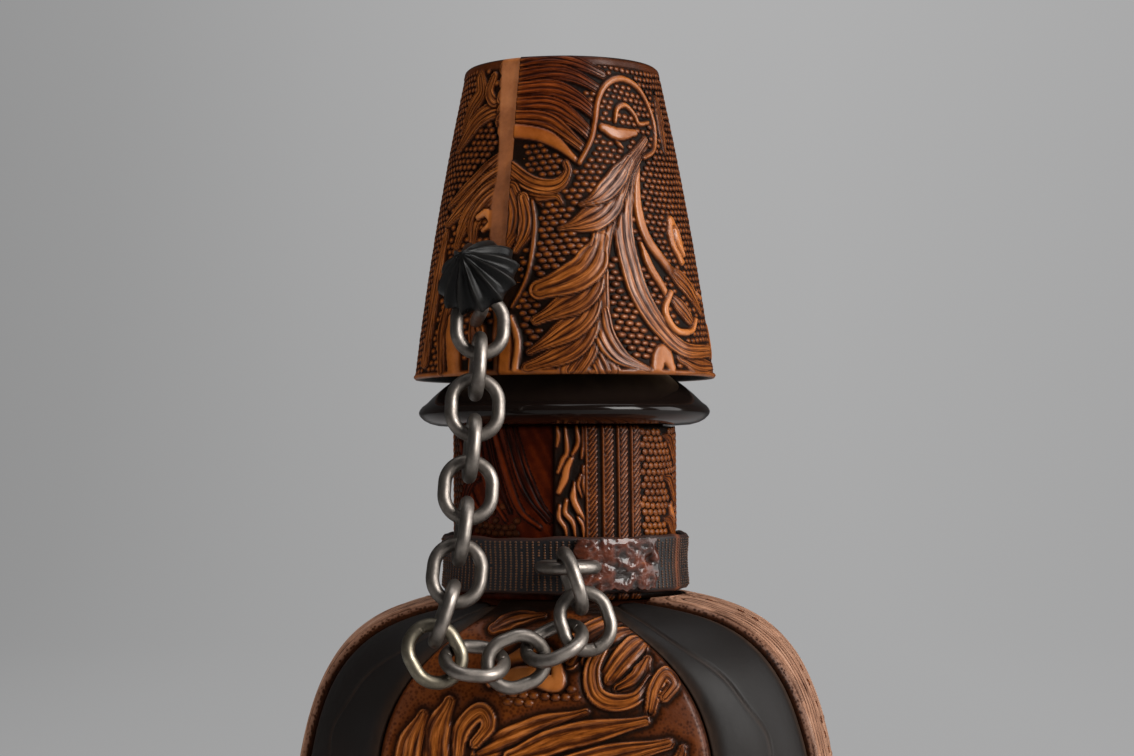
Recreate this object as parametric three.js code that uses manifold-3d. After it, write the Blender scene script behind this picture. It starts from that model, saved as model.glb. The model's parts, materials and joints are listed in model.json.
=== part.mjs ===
// Leather-covered glass flask with a chained stopper.
// Millimetres, +Z up, origin under the bottle axis on the table, front towards -Y.
import * as THREE from "three";
import { mergeVertices } from "three/addons/utils/BufferGeometryUtils.js";
import Module from "manifold-3d";

const wasm = await Module();
wasm.setup();

// Clearance between neighbouring pieces
const GAP = 0.3;

// Bottle: half width at the side, half depth at the front
const LIP_Z = 208;
const LIP_RADIUS = 18;
const BODY_HALF_WIDTH = 32.5;
const BODY_HALF_DEPTH = 23.1;
const BODY_SQUARENESS = 2.7;
const NECK_RADIUS = 12.2;
const NECK_FOOT_Z = 184.6;
const SHOULDER_FOOT_Z = 146;
const GLASS_BOTTOM_Z = 2.4;
const BORE_RADIUS = 9.3;
const GLASS_WALL = 3.2;
const GLASS_SEGMENTS = 48;

// Leather on the body
const PANEL_THICKNESS = 1.6;
const STRIP_THICKNESS = 1.0;
const PANEL_HALF_WIDTH = 19.2;
const PANEL_TOP_HALF_WIDTH = 6.6;
const SIDE_PANEL_HALF_WIDTH = 10.4;
const SIDE_PANEL_TOP_HALF_WIDTH = 9.4;
const BASE_THICKNESS = 2.0;
const BASE_RIM_Z = 5.4;

// Neck leather
const NECK_WRAP_THICKNESS = 1.5;
const NECK_WRAP_Z = [185.8, 206.4];
const NECK_SEAM_AZIMUTH = 2;
const COLLAR_THICKNESS = 1.0;
const COLLAR_Z = [186.6, 193.3];
const PATCH_THICKNESS = 0.8;
const PATCH_Z = [187.0, 193.1];
const PATCH_AZIMUTH = [12, 50];

// Stopper
const CAP_Z = [212.3, 250.6];
const CAP_RADIUS = [18.7, 12.1];
const CAP_BARREL = 0.45;
const CAP_WRAP_THICKNESS = 1.4;
const CAP_SEAM_AZIMUTH = -17;
const CORE_Z = [214.0, 248.7];
const CORK_Z = [200.0, 220.0];
const CORK_RADIUS = [8.6, 9.0];

// Chain: outer length and width of a link, wire diameter
const LINK_LENGTH = 8.2;
const LINK_WIDTH = 7.0;
const WIRE = 1.55;
const STUD_AZIMUTH = -20;
const STUD_HOOK = [21.2, 219.4];
const STUD_LOOP_HEIGHT = 3.9;
const STUD_RADIUS = 4.9;
const STUD_HEIGHT = 5.0;
const STUD_TILT = 33;
const STUD_FLUTES = 12;
const RING_AZIMUTH = 8;
const RING_CENTRE = 18.8;
const RING_RADIUS = 3.1;
const RING_Z = 190;
const CHAIN_REST = [-10.0, -27.0, 178.3];
// Lean of each link in the chain plane, degrees from level, stud end first
const CHAIN_LEAN = [-92, -95, -93, -96, -95, -99, -98, -110, -62, -5, 20];
// Roll of each link about its own length
const LINK_ROLL = [0, 0, 0, 0, 0, 0, 0, 0, 0, 40, 0, 36, 0, 0];

const rad = THREE.MathUtils.degToRad;
const { lerp, smoothstep } = THREE.MathUtils;
const group = new THREE.Group();

// Azimuth is measured at the axis from the front (-Y), positive to the right (+X)
const around = (azimuth, radius, z) =>
  new THREE.Vector3(radius * Math.sin(rad(azimuth)), -radius * Math.cos(rad(azimuth)), z);

// Helpers: closed surfaces

function closedSurface(positions, indices) {
  const geometry = new THREE.BufferGeometry();
  geometry.setAttribute("position", new THREE.Float32BufferAttribute(positions, 3));
  geometry.setIndex(indices);
  return outward(mergeVertices(geometry, 1e-4));
}

function outward(geometry) {
  const p = geometry.attributes.position;
  const index = geometry.index.array;
  const [a, b, c] = [new THREE.Vector3(), new THREE.Vector3(), new THREE.Vector3()];
  let volume = 0;
  for (let i = 0; i < index.length; i += 3) {
    a.fromBufferAttribute(p, index[i]);
    b.fromBufferAttribute(p, index[i + 1]);
    c.fromBufferAttribute(p, index[i + 2]);
    volume += a.dot(b.cross(c));
  }
  if (volume < 0) {
    for (let i = 0; i < index.length; i += 3) {
      [index[i], index[i + 1]] = [index[i + 1], index[i]];
    }
  }
  return geometry;
}

// Sheet between two point functions of (u, v) in 0..1
function sheet(columns, rows, outer, inner) {
  const positions = [];
  const at = (side, i, j) => (side * (rows + 1) + j) * (columns + 1) + i;
  for (const side of [outer, inner]) {
    for (let j = 0; j <= rows; j++) {
      for (let i = 0; i <= columns; i++) positions.push(...side(i / columns, j / rows).toArray());
    }
  }
  const indices = [];
  const quad = (a, b, c, d) => indices.push(a, b, c, a, c, d);
  for (let j = 0; j < rows; j++) {
    for (let i = 0; i < columns; i++) {
      quad(at(0, i, j), at(0, i + 1, j), at(0, i + 1, j + 1), at(0, i, j + 1));
      quad(at(1, i, j), at(1, i, j + 1), at(1, i + 1, j + 1), at(1, i + 1, j));
    }
    quad(at(0, 0, j), at(0, 0, j + 1), at(1, 0, j + 1), at(1, 0, j));
    quad(at(0, columns, j), at(1, columns, j), at(1, columns, j + 1), at(0, columns, j + 1));
  }
  for (let i = 0; i < columns; i++) {
    quad(at(0, i, 0), at(1, i, 0), at(1, i + 1, 0), at(0, i + 1, 0));
    quad(at(0, i, rows), at(0, i + 1, rows), at(1, i + 1, rows), at(1, i, rows));
  }
  return closedSurface(positions, indices);
}

// Skin through rings of equal count; the first and last entry are single points
function loft(start, rings, end) {
  const count = rings[0].length;
  const positions = [...start.toArray()];
  for (const ring of rings) for (const p of ring) positions.push(...p.toArray());
  positions.push(...end.toArray());
  const indices = [];
  const at = (ring, i) => 1 + ring * count + (i % count);
  const last = 1 + rings.length * count;
  for (let i = 0; i < count; i++) {
    indices.push(0, at(0, i + 1), at(0, i));
    for (let r = 0; r + 1 < rings.length; r++) {
      indices.push(at(r, i), at(r, i + 1), at(r + 1, i + 1), at(r, i), at(r + 1, i + 1), at(r + 1, i));
    }
    indices.push(last, at(rings.length - 1, i), at(rings.length - 1, i + 1));
  }
  return closedSurface(positions, indices);
}

function turned(profile, segments) {
  const points = profile.map(([r, z]) => new THREE.Vector2(r, z));
  const geometry = new THREE.LatheGeometry(points, segments).rotateX(Math.PI / 2);
  return outward(bare(geometry));
}

function bare(geometry) {
  geometry.deleteAttribute("normal");
  geometry.deleteAttribute("uv");
  return mergeVertices(geometry, 1e-4);
}

// Round rod along a polyline, closed by flat ends
function rod(points, radius, sides) {
  const rings = points.map((p, i) => {
    const before = points[Math.max(i - 1, 0)];
    const after = points[Math.min(i + 1, points.length - 1)];
    const along = after.clone().sub(before).normalize();
    const side = chain.across.clone().addScaledVector(along, -chain.across.dot(along)).normalize();
    const other = along.clone().cross(side);
    return Array.from({ length: sides }, (_, k) => {
      const angle = (2 * Math.PI * k) / sides;
      const across = side.clone().multiplyScalar(radius * Math.cos(angle));
      return across.addScaledVector(other, radius * Math.sin(angle)).add(p);
    });
  });
  return loft(points[0], rings, points[points.length - 1]);
}

// Booleans

function solid(geometry) {
  return new wasm.Manifold(
    new wasm.Mesh({
      numProp: 3,
      vertProperties: new Float32Array(geometry.attributes.position.array),
      triVerts: new Uint32Array(geometry.index.array),
    }),
  );
}

function surface(manifold) {
  const mesh = manifold.getMesh();
  const geometry = new THREE.BufferGeometry();
  geometry.setAttribute("position", new THREE.BufferAttribute(new Float32Array(mesh.vertProperties), 3));
  geometry.setIndex(new THREE.BufferAttribute(new Uint32Array(mesh.triVerts), 1));
  return geometry;
}

const cut = (geometry, ...tools) =>
  surface(tools.reduce((left, tool) => left.subtract(solid(tool)), solid(geometry)));
const joined = (...geometries) => surface(geometries.map(solid).reduce((sum, next) => sum.add(next)));

// Materials

const finish = (color, roughness, metalness) => () =>
  new THREE.MeshStandardMaterial({ color, roughness, metalness });
const toolingLeather = finish(0x7a4a26, 0.5, 0);
const darkLeather = finish(0x23201f, 0.45, 0);
const patchLeather = finish(0x4a1f14, 0.3, 0);
const darkGlass = finish(0x14100c, 0.08, 0);
const wood = finish(0x8a6238, 0.7, 0);
const cork = finish(0xb98d5c, 0.9, 0);
const steel = finish(0x8d8d8a, 0.35, 1);
const blackSteel = finish(0x171615, 0.4, 0.8);

function add(name, geometry, material) {
  const mesh = new THREE.Mesh(geometry, material());
  mesh.name = name;
  mesh.geometry.computeVertexNormals();
  group.add(mesh);
  return mesh;
}

// Bottle wall: half width and height along the outside of the glass, foot (0) to neck (2)

const wallPart = new THREE.CubicBezierCurve(
  new THREE.Vector2(BODY_HALF_WIDTH - 1.4, GLASS_BOTTOM_Z + 3.4),
  new THREE.Vector2(BODY_HALF_WIDTH - 0.4, 45),
  new THREE.Vector2(BODY_HALF_WIDTH + 0.2, 105),
  new THREE.Vector2(BODY_HALF_WIDTH, SHOULDER_FOOT_Z),
);
const shoulderPart = new THREE.CubicBezierCurve(
  new THREE.Vector2(BODY_HALF_WIDTH, SHOULDER_FOOT_Z),
  new THREE.Vector2(BODY_HALF_WIDTH - 1.5, NECK_FOOT_Z - 5.6),
  new THREE.Vector2(26.5, NECK_FOOT_Z - 2.4),
  new THREE.Vector2(NECK_RADIUS + 0.4, NECK_FOOT_Z),
);
const wallCurve = (s) => (s <= 1 ? wallPart.getPoint(s) : shoulderPart.getPoint(s - 1));
const STATIONS = [0, 0.33, 0.66, 1, 1.14, 1.26, 1.37, 1.47, 1.57, 1.67, 1.77, 1.88];

// A section is a circle at the neck and a rounded rectangle at the body
const FLATNESS = (BODY_HALF_DEPTH - NECK_RADIUS) / (BODY_HALF_WIDTH - NECK_RADIUS);
const depthOf = (halfWidth) => NECK_RADIUS + (halfWidth - NECK_RADIUS) * FLATNESS;
const squarenessOf = (halfWidth) =>
  lerp(2, BODY_SQUARENESS, smoothstep(halfWidth, NECK_RADIUS + 1, 29));

function sectionPoint(halfWidth, halfDepth, power, z, azimuth) {
  const s = Math.sin(azimuth);
  const c = Math.cos(azimuth);
  const r = (Math.abs(s / halfWidth) ** power + Math.abs(c / halfDepth) ** power) ** (-1 / power);
  return new THREE.Vector3(r * s, -r * c, z);
}

function sectionRing(halfWidth, halfDepth, power, z) {
  return Array.from({ length: GLASS_SEGMENTS }, (_, i) =>
    sectionPoint(halfWidth, halfDepth, power, z, (2 * Math.PI * i) / GLASS_SEGMENTS),
  );
}

function wallPoint(s, azimuth) {
  const { x: halfWidth, y: z } = wallCurve(s);
  return sectionPoint(halfWidth, depthOf(halfWidth), squarenessOf(halfWidth), z, azimuth);
}

function skinPoint(s, azimuth, offset) {
  const step = 1e-3;
  const low = Math.max(s - step, 0);
  const up = wallPoint(low + 2 * step, azimuth).sub(wallPoint(low, azimuth));
  const round = wallPoint(s, azimuth + step).sub(wallPoint(s, azimuth - step));
  return wallPoint(s, azimuth).addScaledVector(round.cross(up).normalize(), offset);
}

// Glass bottle, one wall from the underside over the lip to the inside floor

function glassBottle() {
  const rings = [];
  const round = (r, z) => rings.push(sectionRing(r, r, 2, z));
  const body = (a, b, z) => rings.push(sectionRing(a, b, squarenessOf(a), z));
  const foot = wallCurve(0);
  body(foot.x - 3.4, depthOf(foot.x) - 3.4, GLASS_BOTTOM_Z);
  body(foot.x - 1.0, depthOf(foot.x) - 1.0, GLASS_BOTTOM_Z + 1.0);
  for (const s of STATIONS) {
    const { x, y } = wallCurve(s);
    body(x, depthOf(x), y);
  }
  round(NECK_RADIUS, NECK_FOOT_Z + 0.3);
  round(NECK_RADIUS, LIP_Z - 1.2);
  round(NECK_RADIUS + 1.6, LIP_Z - 1.0);
  round(LIP_RADIUS - 1.5, LIP_Z - 0.5);
  round(LIP_RADIUS, LIP_Z);
  round(LIP_RADIUS - 0.3, LIP_Z + 0.6);
  round(LIP_RADIUS - 1.7, LIP_Z + 2.1);
  round(LIP_RADIUS - 4.0, LIP_Z + 4.0);
  round(LIP_RADIUS - 5.6, LIP_Z + 5.2);
  round(BORE_RADIUS + 1.0, LIP_Z + 5.6);
  round(BORE_RADIUS, LIP_Z + 4.9);
  round(BORE_RADIUS, NECK_FOOT_Z + 1.5);
  for (const s of [1.88, 1.67, 1.47, 1.26, 1, 0.33]) {
    const { x, y } = wallCurve(s);
    const inset = s > 1.5 ? GLASS_WALL - 0.6 : GLASS_WALL;
    const drop = s > 1.2 ? 2.4 : 0;
    body(Math.max(x - inset, BORE_RADIUS), Math.max(depthOf(x) - inset, BORE_RADIUS), y - drop);
  }
  body(foot.x - GLASS_WALL, depthOf(foot.x) - GLASS_WALL, GLASS_BOTTOM_Z + 8);
  body(foot.x - GLASS_WALL - 3, depthOf(foot.x) - GLASS_WALL - 3, GLASS_BOTTOM_Z + 5);
  const under = new THREE.Vector3(0, 0, GLASS_BOTTOM_Z);
  return loft(under, rings, new THREE.Vector3(0, 0, GLASS_BOTTOM_Z + 5));
}
add("glass_bottle", glassBottle(), darkGlass);

// Body leather: four tooled panels, four corner strips, base

const halfWidthAt = (s) => wallCurve(s).x;
const panelEdge = (s) =>
  lerp(PANEL_HALF_WIDTH, PANEL_TOP_HALF_WIDTH, smoothstep(s, 1.2, 1.95) ** 1.15);
const sidePanelEdge = (s) =>
  lerp(SIDE_PANEL_HALF_WIDTH, SIDE_PANEL_TOP_HALF_WIDTH, smoothstep(s, 1.5, 1.9));

// Azimuth of the front panel's right edge and of the right panel's front edge
function panelEdgeAzimuth(s) {
  const a = halfWidthAt(s);
  const p = squarenessOf(a);
  const x = panelEdge(s);
  return Math.atan2(x, depthOf(a) * (1 - (x / a) ** p) ** (1 / p));
}
function sideEdgeAzimuth(s) {
  const a = halfWidthAt(s);
  const b = depthOf(a);
  const p = squarenessOf(a);
  const y = Math.min(sidePanelEdge(s), b * 0.8);
  return Math.atan2(a * (1 - (y / b) ** p) ** (1 / p), y);
}

// Leather piece between two edges given as azimuth functions
function bodyPiece(columns, thickness, left, right) {
  const rows = STATIONS.length - 1;
  const point = (offset) => (u, v) => {
    const s = STATIONS[Math.round(v * rows)];
    return skinPoint(s, lerp(left(s), right(s), u), offset);
  };
  return sheet(columns, rows, point(GAP + thickness), point(GAP));
}

const seam = (s) => (0.5 * GAP) / halfWidthAt(s);
const quarter = Math.PI / 2;
for (const [name, turn] of [["panel_front", 0], ["panel_back", 2 * quarter]]) {
  const edge = (s) => panelEdgeAzimuth(s) - seam(s);
  const piece = bodyPiece(8, PANEL_THICKNESS, (s) => turn - edge(s), (s) => turn + edge(s));
  add(name, piece, toolingLeather);
}
for (const [name, turn] of [["panel_right", quarter], ["panel_left", 3 * quarter]]) {
  const edge = (s) => quarter - sideEdgeAzimuth(s) - seam(s);
  const piece = bodyPiece(6, PANEL_THICKNESS, (s) => turn - edge(s), (s) => turn + edge(s));
  add(name, piece, toolingLeather);
}
const stripNear = (s) => panelEdgeAzimuth(s) + seam(s);
const stripFar = (s) => sideEdgeAzimuth(s) - seam(s);
const strips = {
  strip_front_right: [stripNear, stripFar],
  strip_back_right: [(s) => Math.PI - stripFar(s), (s) => Math.PI - stripNear(s)],
  strip_back_left: [(s) => Math.PI + stripNear(s), (s) => Math.PI + stripFar(s)],
  strip_front_left: [(s) => -stripFar(s), (s) => -stripNear(s)],
};
for (const [name, [left, right]] of Object.entries(strips)) {
  add(name, bodyPiece(6, STRIP_THICKNESS, left, right), darkLeather);
}

// Shallow leather tray round the foot of the glass, flush with the panels
function baseLeather() {
  const a = halfWidthAt(0);
  const rim = GAP + PANEL_THICKNESS;
  const profile = [
    [rim - 0.7, 0],
    [rim, 0.7],
    [rim, BASE_RIM_Z],
    [GAP, BASE_RIM_Z],
    [GAP, BASE_THICKNESS],
  ];
  const rings = profile.map(([out, z]) => sectionRing(a + out, depthOf(a) + out, squarenessOf(a), z));
  return loft(new THREE.Vector3(0, 0, 0), rings, new THREE.Vector3(0, 0, BASE_THICKNESS));
}
add("base_leather", baseLeather(), darkLeather);

// Chain plane: through the hook behind the stud, the link at rest on the shoulder and the ring

const hook = around(STUD_AZIMUTH, ...STUD_HOOK);
const ringCentre = around(RING_AZIMUTH, RING_CENTRE, RING_Z);
const ringFront = around(RING_AZIMUTH, RING_CENTRE + RING_RADIUS, RING_Z);
const restPoint = new THREE.Vector3(...CHAIN_REST);
const chain = { normal: restPoint.clone().sub(hook).cross(ringFront.clone().sub(hook)).normalize() };
chain.across = new THREE.Vector3(-chain.normal.y, chain.normal.x, 0).normalize();
chain.up = chain.normal.clone().cross(chain.across);

const inPlane = (x, y) => hook.clone().addScaledVector(chain.across, x).addScaledVector(chain.up, y);

// Stud: fluted dome on a post, with a wire loop behind it that carries the first link

const outwards = around(STUD_AZIMUTH, 1, 0);
const studAxis = outwards.clone().multiplyScalar(Math.cos(rad(STUD_TILT)));
studAxis.z = Math.sin(rad(STUD_TILT));
const studCentre = around(STUD_AZIMUTH, STUD_HOOK[0] + 0.2, STUD_HOOK[1] + STUD_LOOP_HEIGHT);

function studDome() {
  const side = chain.across.clone().addScaledVector(studAxis, -chain.across.dot(studAxis)).normalize();
  const other = studAxis.clone().cross(side);
  const count = 3 * STUD_FLUTES;
  const ring = (r, h, flute) =>
    Array.from({ length: count }, (_, i) => {
      const angle = (2 * Math.PI * i) / count;
      const radius = r * (i % 3 === 0 ? 1 : 1 - flute);
      return studCentre
        .clone()
        .addScaledVector(studAxis, h)
        .addScaledVector(side, radius * Math.cos(angle))
        .addScaledVector(other, radius * Math.sin(angle));
    });
  const dome = (f) => Math.sqrt(1 - f * f) * 0.55 + (1 - f) * 0.45;
  const shell = (f, height) => ring(STUD_RADIUS * f, height, 0.1 * f);
  const outside = [0.25, 0.5, 0.75, 0.92, 1].map((f) => shell(f, STUD_HEIGHT * dome(f)));
  const inside = [0.82, 0.5].map((f) => shell(f, (STUD_HEIGHT - 0.9) * dome(f) - 0.35));
  return loft(onStudAxis(STUD_HEIGHT), [...outside, ...inside], onStudAxis(STUD_HEIGHT - 1.3));
}

const LEG_DEPTH = 9;
const LOOP_REACH = 1.2;
const loopRadius = STUD_LOOP_HEIGHT / 2;

function studLoop(radius, depth) {
  const at = (x, y) => hook.clone().addScaledVector(chain.normal, x).addScaledVector(chain.up, y);
  const bend = Array.from({ length: 7 }, (_, i) => {
    const angle = Math.PI / 2 - (Math.PI * i) / 6;
    return at(LOOP_REACH + loopRadius * Math.cos(angle), loopRadius + loopRadius * Math.sin(angle));
  });
  return rod([at(-depth, STUD_LOOP_HEIGHT), ...bend, at(-depth, 0)], radius, 8);
}

const onStudAxis = (height) => studCentre.clone().addScaledVector(studAxis, height);
const studPost = rod([onStudAxis(-0.4), onStudAxis(STUD_HEIGHT - 0.6)], 1.3, 8);
add("chain_stud", joined(studDome(), studPost, studLoop(WIRE / 2, LEG_DEPTH)), blackSteel);

// Stopper: core, side wrap, top disc, cork

const capRadius = (z) => {
  const f = (z - CAP_Z[0]) / (CAP_Z[1] - CAP_Z[0]);
  return lerp(...CAP_RADIUS, f) + CAP_BARREL * 4 * f * (1 - f);
};
const legHoles = studLoop(WIRE / 2 + GAP, LEG_DEPTH + GAP);

function rolledSheet(seamAzimuth, [low, high], columns, rows, outerRadius, thickness) {
  const slit = GAP / outerRadius(low);
  const point = (inset) => (u, v) => {
    const z = lerp(low, high, v);
    const azimuth = THREE.MathUtils.radToDeg(lerp(slit / 2, 2 * Math.PI - slit / 2, u)) + seamAzimuth;
    return around(azimuth, outerRadius(z) - inset, z);
  };
  return sheet(columns, rows, point(0), point(thickness));
}

const wrap = rolledSheet(CAP_SEAM_AZIMUTH, CAP_Z, 40, 6, capRadius, CAP_WRAP_THICKNESS);
add("stopper_wrap", cut(wrap, legHoles), toolingLeather);

const coreRadius = (z) => capRadius(z) - CAP_WRAP_THICKNESS - GAP;
const coreSides = Array.from({ length: 7 }, (_, i) => {
  const z = lerp(...CORE_Z, i / 6);
  return [coreRadius(z), z];
});
const socketTop = CORK_Z[1] + GAP;
const socket = CORK_RADIUS[1] + GAP;
const coreProfile = [[0, socketTop], [socket, socketTop], [socket, CORE_Z[0]], ...coreSides, [0, CORE_Z[1]]];
add("stopper_core", cut(turned(coreProfile, 40), legHoles), wood);

const discRadius = capRadius(CAP_Z[1]) - CAP_WRAP_THICKNESS - GAP;
const disc = [
  [0, CORE_Z[1] + GAP],
  [discRadius, CORE_Z[1] + GAP],
  [discRadius, CAP_Z[1] - 0.3],
  [discRadius * 0.8, CAP_Z[1] + 0.3],
  [discRadius * 0.45, CAP_Z[1] + 0.7],
  [0, CAP_Z[1] + 0.8],
];
add("stopper_top_disc", turned(disc, 32), toolingLeather);

const plug = [
  [0, CORK_Z[0]],
  [CORK_RADIUS[0] - 0.6, CORK_Z[0]],
  [CORK_RADIUS[0], CORK_Z[0] + 0.6],
  [CORK_RADIUS[1], CORK_Z[1]],
  [0, CORK_Z[1]],
];
add("cork", turned(plug, 32), cork);

// Neck: wrap, collar strap, patch over its ends, ring through the strap and the patch

const neckWrapRadius = () => NECK_RADIUS + GAP + NECK_WRAP_THICKNESS;
const collarRadius = () => neckWrapRadius() + GAP + COLLAR_THICKNESS;
const patchRadius = collarRadius() + GAP + PATCH_THICKNESS;
const ring = (tube) => {
  const torus = bare(new THREE.TorusGeometry(RING_RADIUS, tube, 8, 24));
  return torus.translate(ringCentre.x, ringCentre.y, ringCentre.z);
};
const ringHole = ring(WIRE / 2 + GAP);

add(
  "neck_wrap",
  rolledSheet(NECK_SEAM_AZIMUTH, NECK_WRAP_Z, 36, 1, neckWrapRadius, NECK_WRAP_THICKNESS),
  toolingLeather,
);

const collarSeam = (PATCH_AZIMUTH[0] + PATCH_AZIMUTH[1]) / 2 + 8;
const collar = rolledSheet(collarSeam, COLLAR_Z, 36, 1, collarRadius, COLLAR_THICKNESS);
add("neck_collar", cut(collar, ringHole), darkLeather);

const patchPoint = (radius) => (u, v) => around(lerp(...PATCH_AZIMUTH, u), radius, lerp(...PATCH_Z, v));
add(
  "collar_patch",
  cut(sheet(6, 1, patchPoint(patchRadius), patchPoint(patchRadius - PATCH_THICKNESS)), ringHole),
  patchLeather,
);
add("collar_ring", outward(ring(WIRE / 2)), steel);

// Chain: odd links lie in the chain plane, even links stand across it

class LinkCurve extends THREE.Curve {
  getPoint(u) {
    const straight = LINK_LENGTH - LINK_WIDTH;
    const bow = (LINK_WIDTH - WIRE) / 2;
    const bend = (Math.PI / 2) * bow;
    const d = u * (4 * bend + 2 * straight);
    const end = (shift, angle) => new THREE.Vector3(shift + bow * Math.cos(angle), bow * Math.sin(angle), 0);
    if (d < bend) return end(straight / 2, d / bow);
    if (d < bend + straight) return new THREE.Vector3(straight / 2 - (d - bend), bow, 0);
    if (d < 3 * bend + straight) return end(-straight / 2, (d - straight) / bow);
    if (d < 3 * bend + 2 * straight) return new THREE.Vector3(d - 3 * bend - 1.5 * straight, -bow, 0);
    return end(straight / 2, (d - 2 * straight) / bow);
  }
}
const linkShape = () => outward(bare(new THREE.TubeGeometry(new LinkCurve(), 16, WIRE / 2, 6, true)));

// Lengths between bow centres: in-plane link, cross link, last cross link to the ring wire
const bowRadius = (LINK_WIDTH - WIRE) / 2;
const play = bowRadius - WIRE - GAP;
const IN_PLANE = LINK_LENGTH - LINK_WIDTH;
const CROSS = LINK_LENGTH - WIRE + 2 * play;
const LAST = play + LINK_LENGTH - WIRE - (WIRE + GAP);

const toPlane = (point) => {
  const d = point.clone().sub(hook);
  return new THREE.Vector2(d.dot(chain.across), d.dot(chain.up));
};
const step = (from, length, lean) =>
  new THREE.Vector2(from.x + length * Math.cos(rad(lean)), from.y + length * Math.sin(rad(lean)));

// Start, length, lean of every bar; the last three reach the ring as a two-bar closure
function chainBars() {
  const bars = [];
  let at = step(new THREE.Vector2(), play, CHAIN_LEAN[0]);
  CHAIN_LEAN.forEach((lean, i) => {
    const length = i % 2 === 0 ? IN_PLANE : CROSS;
    bars.push({ from: at, length, lean });
    at = step(at, length, lean);
  });
  const target = toPlane(ringFront).sub(at);
  const reach = target.length();
  const tail = IN_PLANE + LAST;
  const base = Math.atan2(target.y, target.x);
  const lower = base - Math.acos((CROSS ** 2 + reach ** 2 - tail ** 2) / (2 * CROSS * reach));
  const upper = base + Math.acos((tail ** 2 + reach ** 2 - CROSS ** 2) / (2 * tail * reach));
  const [leanLower, leanUpper] = [lower, upper].map(THREE.MathUtils.radToDeg);
  bars.push({ from: at, length: CROSS, lean: leanLower });
  at = step(at, CROSS, leanLower);
  bars.push({ from: at, length: IN_PLANE, lean: leanUpper });
  at = step(at, IN_PLANE, leanUpper);
  bars.push({ from: at, length: CROSS, lean: leanUpper });
  return bars;
}

function placeLink(mesh, { from, length, lean }, index) {
  const middle = step(from, length / 2, lean);
  const along = inPlane(...step(middle, 1, lean).toArray()).sub(inPlane(middle.x, middle.y));
  const facing = index % 2 === 0 ? chain.normal.clone() : chain.normal.clone().cross(along);
  facing.applyAxisAngle(along, rad(LINK_ROLL[index]));
  const basis = new THREE.Matrix4().makeBasis(along, facing.clone().cross(along), facing);
  mesh.quaternion.setFromRotationMatrix(basis);
  mesh.position.copy(inPlane(middle.x, middle.y));
}

chainBars().forEach((bar, i) => {
  placeLink(add(`chain_link_${String(i + 1).padStart(2, "0")}`, linkShape(), steel), bar, i);
});

export default group;
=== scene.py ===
import json
import math

import bpy
import numpy as np
from mathutils import Matrix, Vector, noise


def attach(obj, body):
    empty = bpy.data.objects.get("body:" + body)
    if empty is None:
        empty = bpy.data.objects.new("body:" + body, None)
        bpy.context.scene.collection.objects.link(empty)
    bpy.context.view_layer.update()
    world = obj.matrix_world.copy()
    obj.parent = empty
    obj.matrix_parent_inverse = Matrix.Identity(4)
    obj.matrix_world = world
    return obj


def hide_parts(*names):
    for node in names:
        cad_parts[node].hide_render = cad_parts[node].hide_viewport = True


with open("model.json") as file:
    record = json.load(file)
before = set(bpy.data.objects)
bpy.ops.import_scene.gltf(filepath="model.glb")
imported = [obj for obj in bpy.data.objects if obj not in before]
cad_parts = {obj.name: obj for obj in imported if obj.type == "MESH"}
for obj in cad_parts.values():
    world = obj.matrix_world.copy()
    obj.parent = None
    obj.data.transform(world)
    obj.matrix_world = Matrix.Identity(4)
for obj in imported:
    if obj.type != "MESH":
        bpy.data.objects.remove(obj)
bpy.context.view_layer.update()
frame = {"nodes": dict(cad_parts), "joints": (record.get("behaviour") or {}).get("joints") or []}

bl_info = {
    "name": "Leather-covered flask",
    "version": (1, 0, 0),
    "blender": (4, 5, 0),
    "location": "View3D > Sidebar > Flask",
    "description": "Builds the tooled leather, glass, stud and chain of a covered flask",
    "category": "Add Mesh",
}

# Metres in a millimetre, and the other way round
MM = 0.001
TO_MM = 1000

# Shared with the solids, millimetres
GAP = 0.3
LIP_Z = 208.0
LIP_RADIUS = 18.0
BODY_HALF_WIDTH = 32.5
BODY_HALF_DEPTH = 23.1
BODY_SQUARENESS = 2.7
NECK_RADIUS = 12.2
NECK_FOOT_Z = 184.6
SHOULDER_FOOT_Z = 146.0
GLASS_BOTTOM_Z = 2.4
BORE_RADIUS = 9.3
PANEL_THICKNESS = 1.6
STRIP_THICKNESS = 1.0
PANEL_HALF_WIDTH = 19.2
PANEL_TOP_HALF_WIDTH = 6.6
SIDE_PANEL_HALF_WIDTH = 10.4
SIDE_PANEL_TOP_HALF_WIDTH = 9.4
BASE_THICKNESS = 2.0
BASE_RIM_Z = 5.4
NECK_WRAP_THICKNESS = 1.5
NECK_WRAP_Z = (185.8, 206.4)
NECK_SEAM_AZIMUTH = 2.0
COLLAR_THICKNESS = 1.0
COLLAR_Z = (186.6, 193.3)
PATCH_THICKNESS = 0.8
PATCH_Z = (187.0, 193.1)
PATCH_AZIMUTH = (12.0, 50.0)
CAP_Z = (212.3, 250.6)
CAP_RADIUS = (18.7, 12.1)
CAP_BARREL = 0.45
CAP_WRAP_THICKNESS = 1.4
CAP_SEAM_AZIMUTH = -17.0
CORE_Z = (214.0, 248.7)
CORK_Z = (200.0, 220.0)
CORK_RADIUS = (8.6, 9.0)
STUD_AZIMUTH = -20.0
STUD_HOOK = (21.2, 219.4)
STUD_LOOP_HEIGHT = 3.9
STUD_HEIGHT = 5.0
STUD_TILT = 33.0
RING_AZIMUTH = 8.0
RING_CENTRE = 18.8
RING_RADIUS = 3.1
RING_Z = 190.0
LINKS = 14
BRASS_LINK = 9

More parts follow.
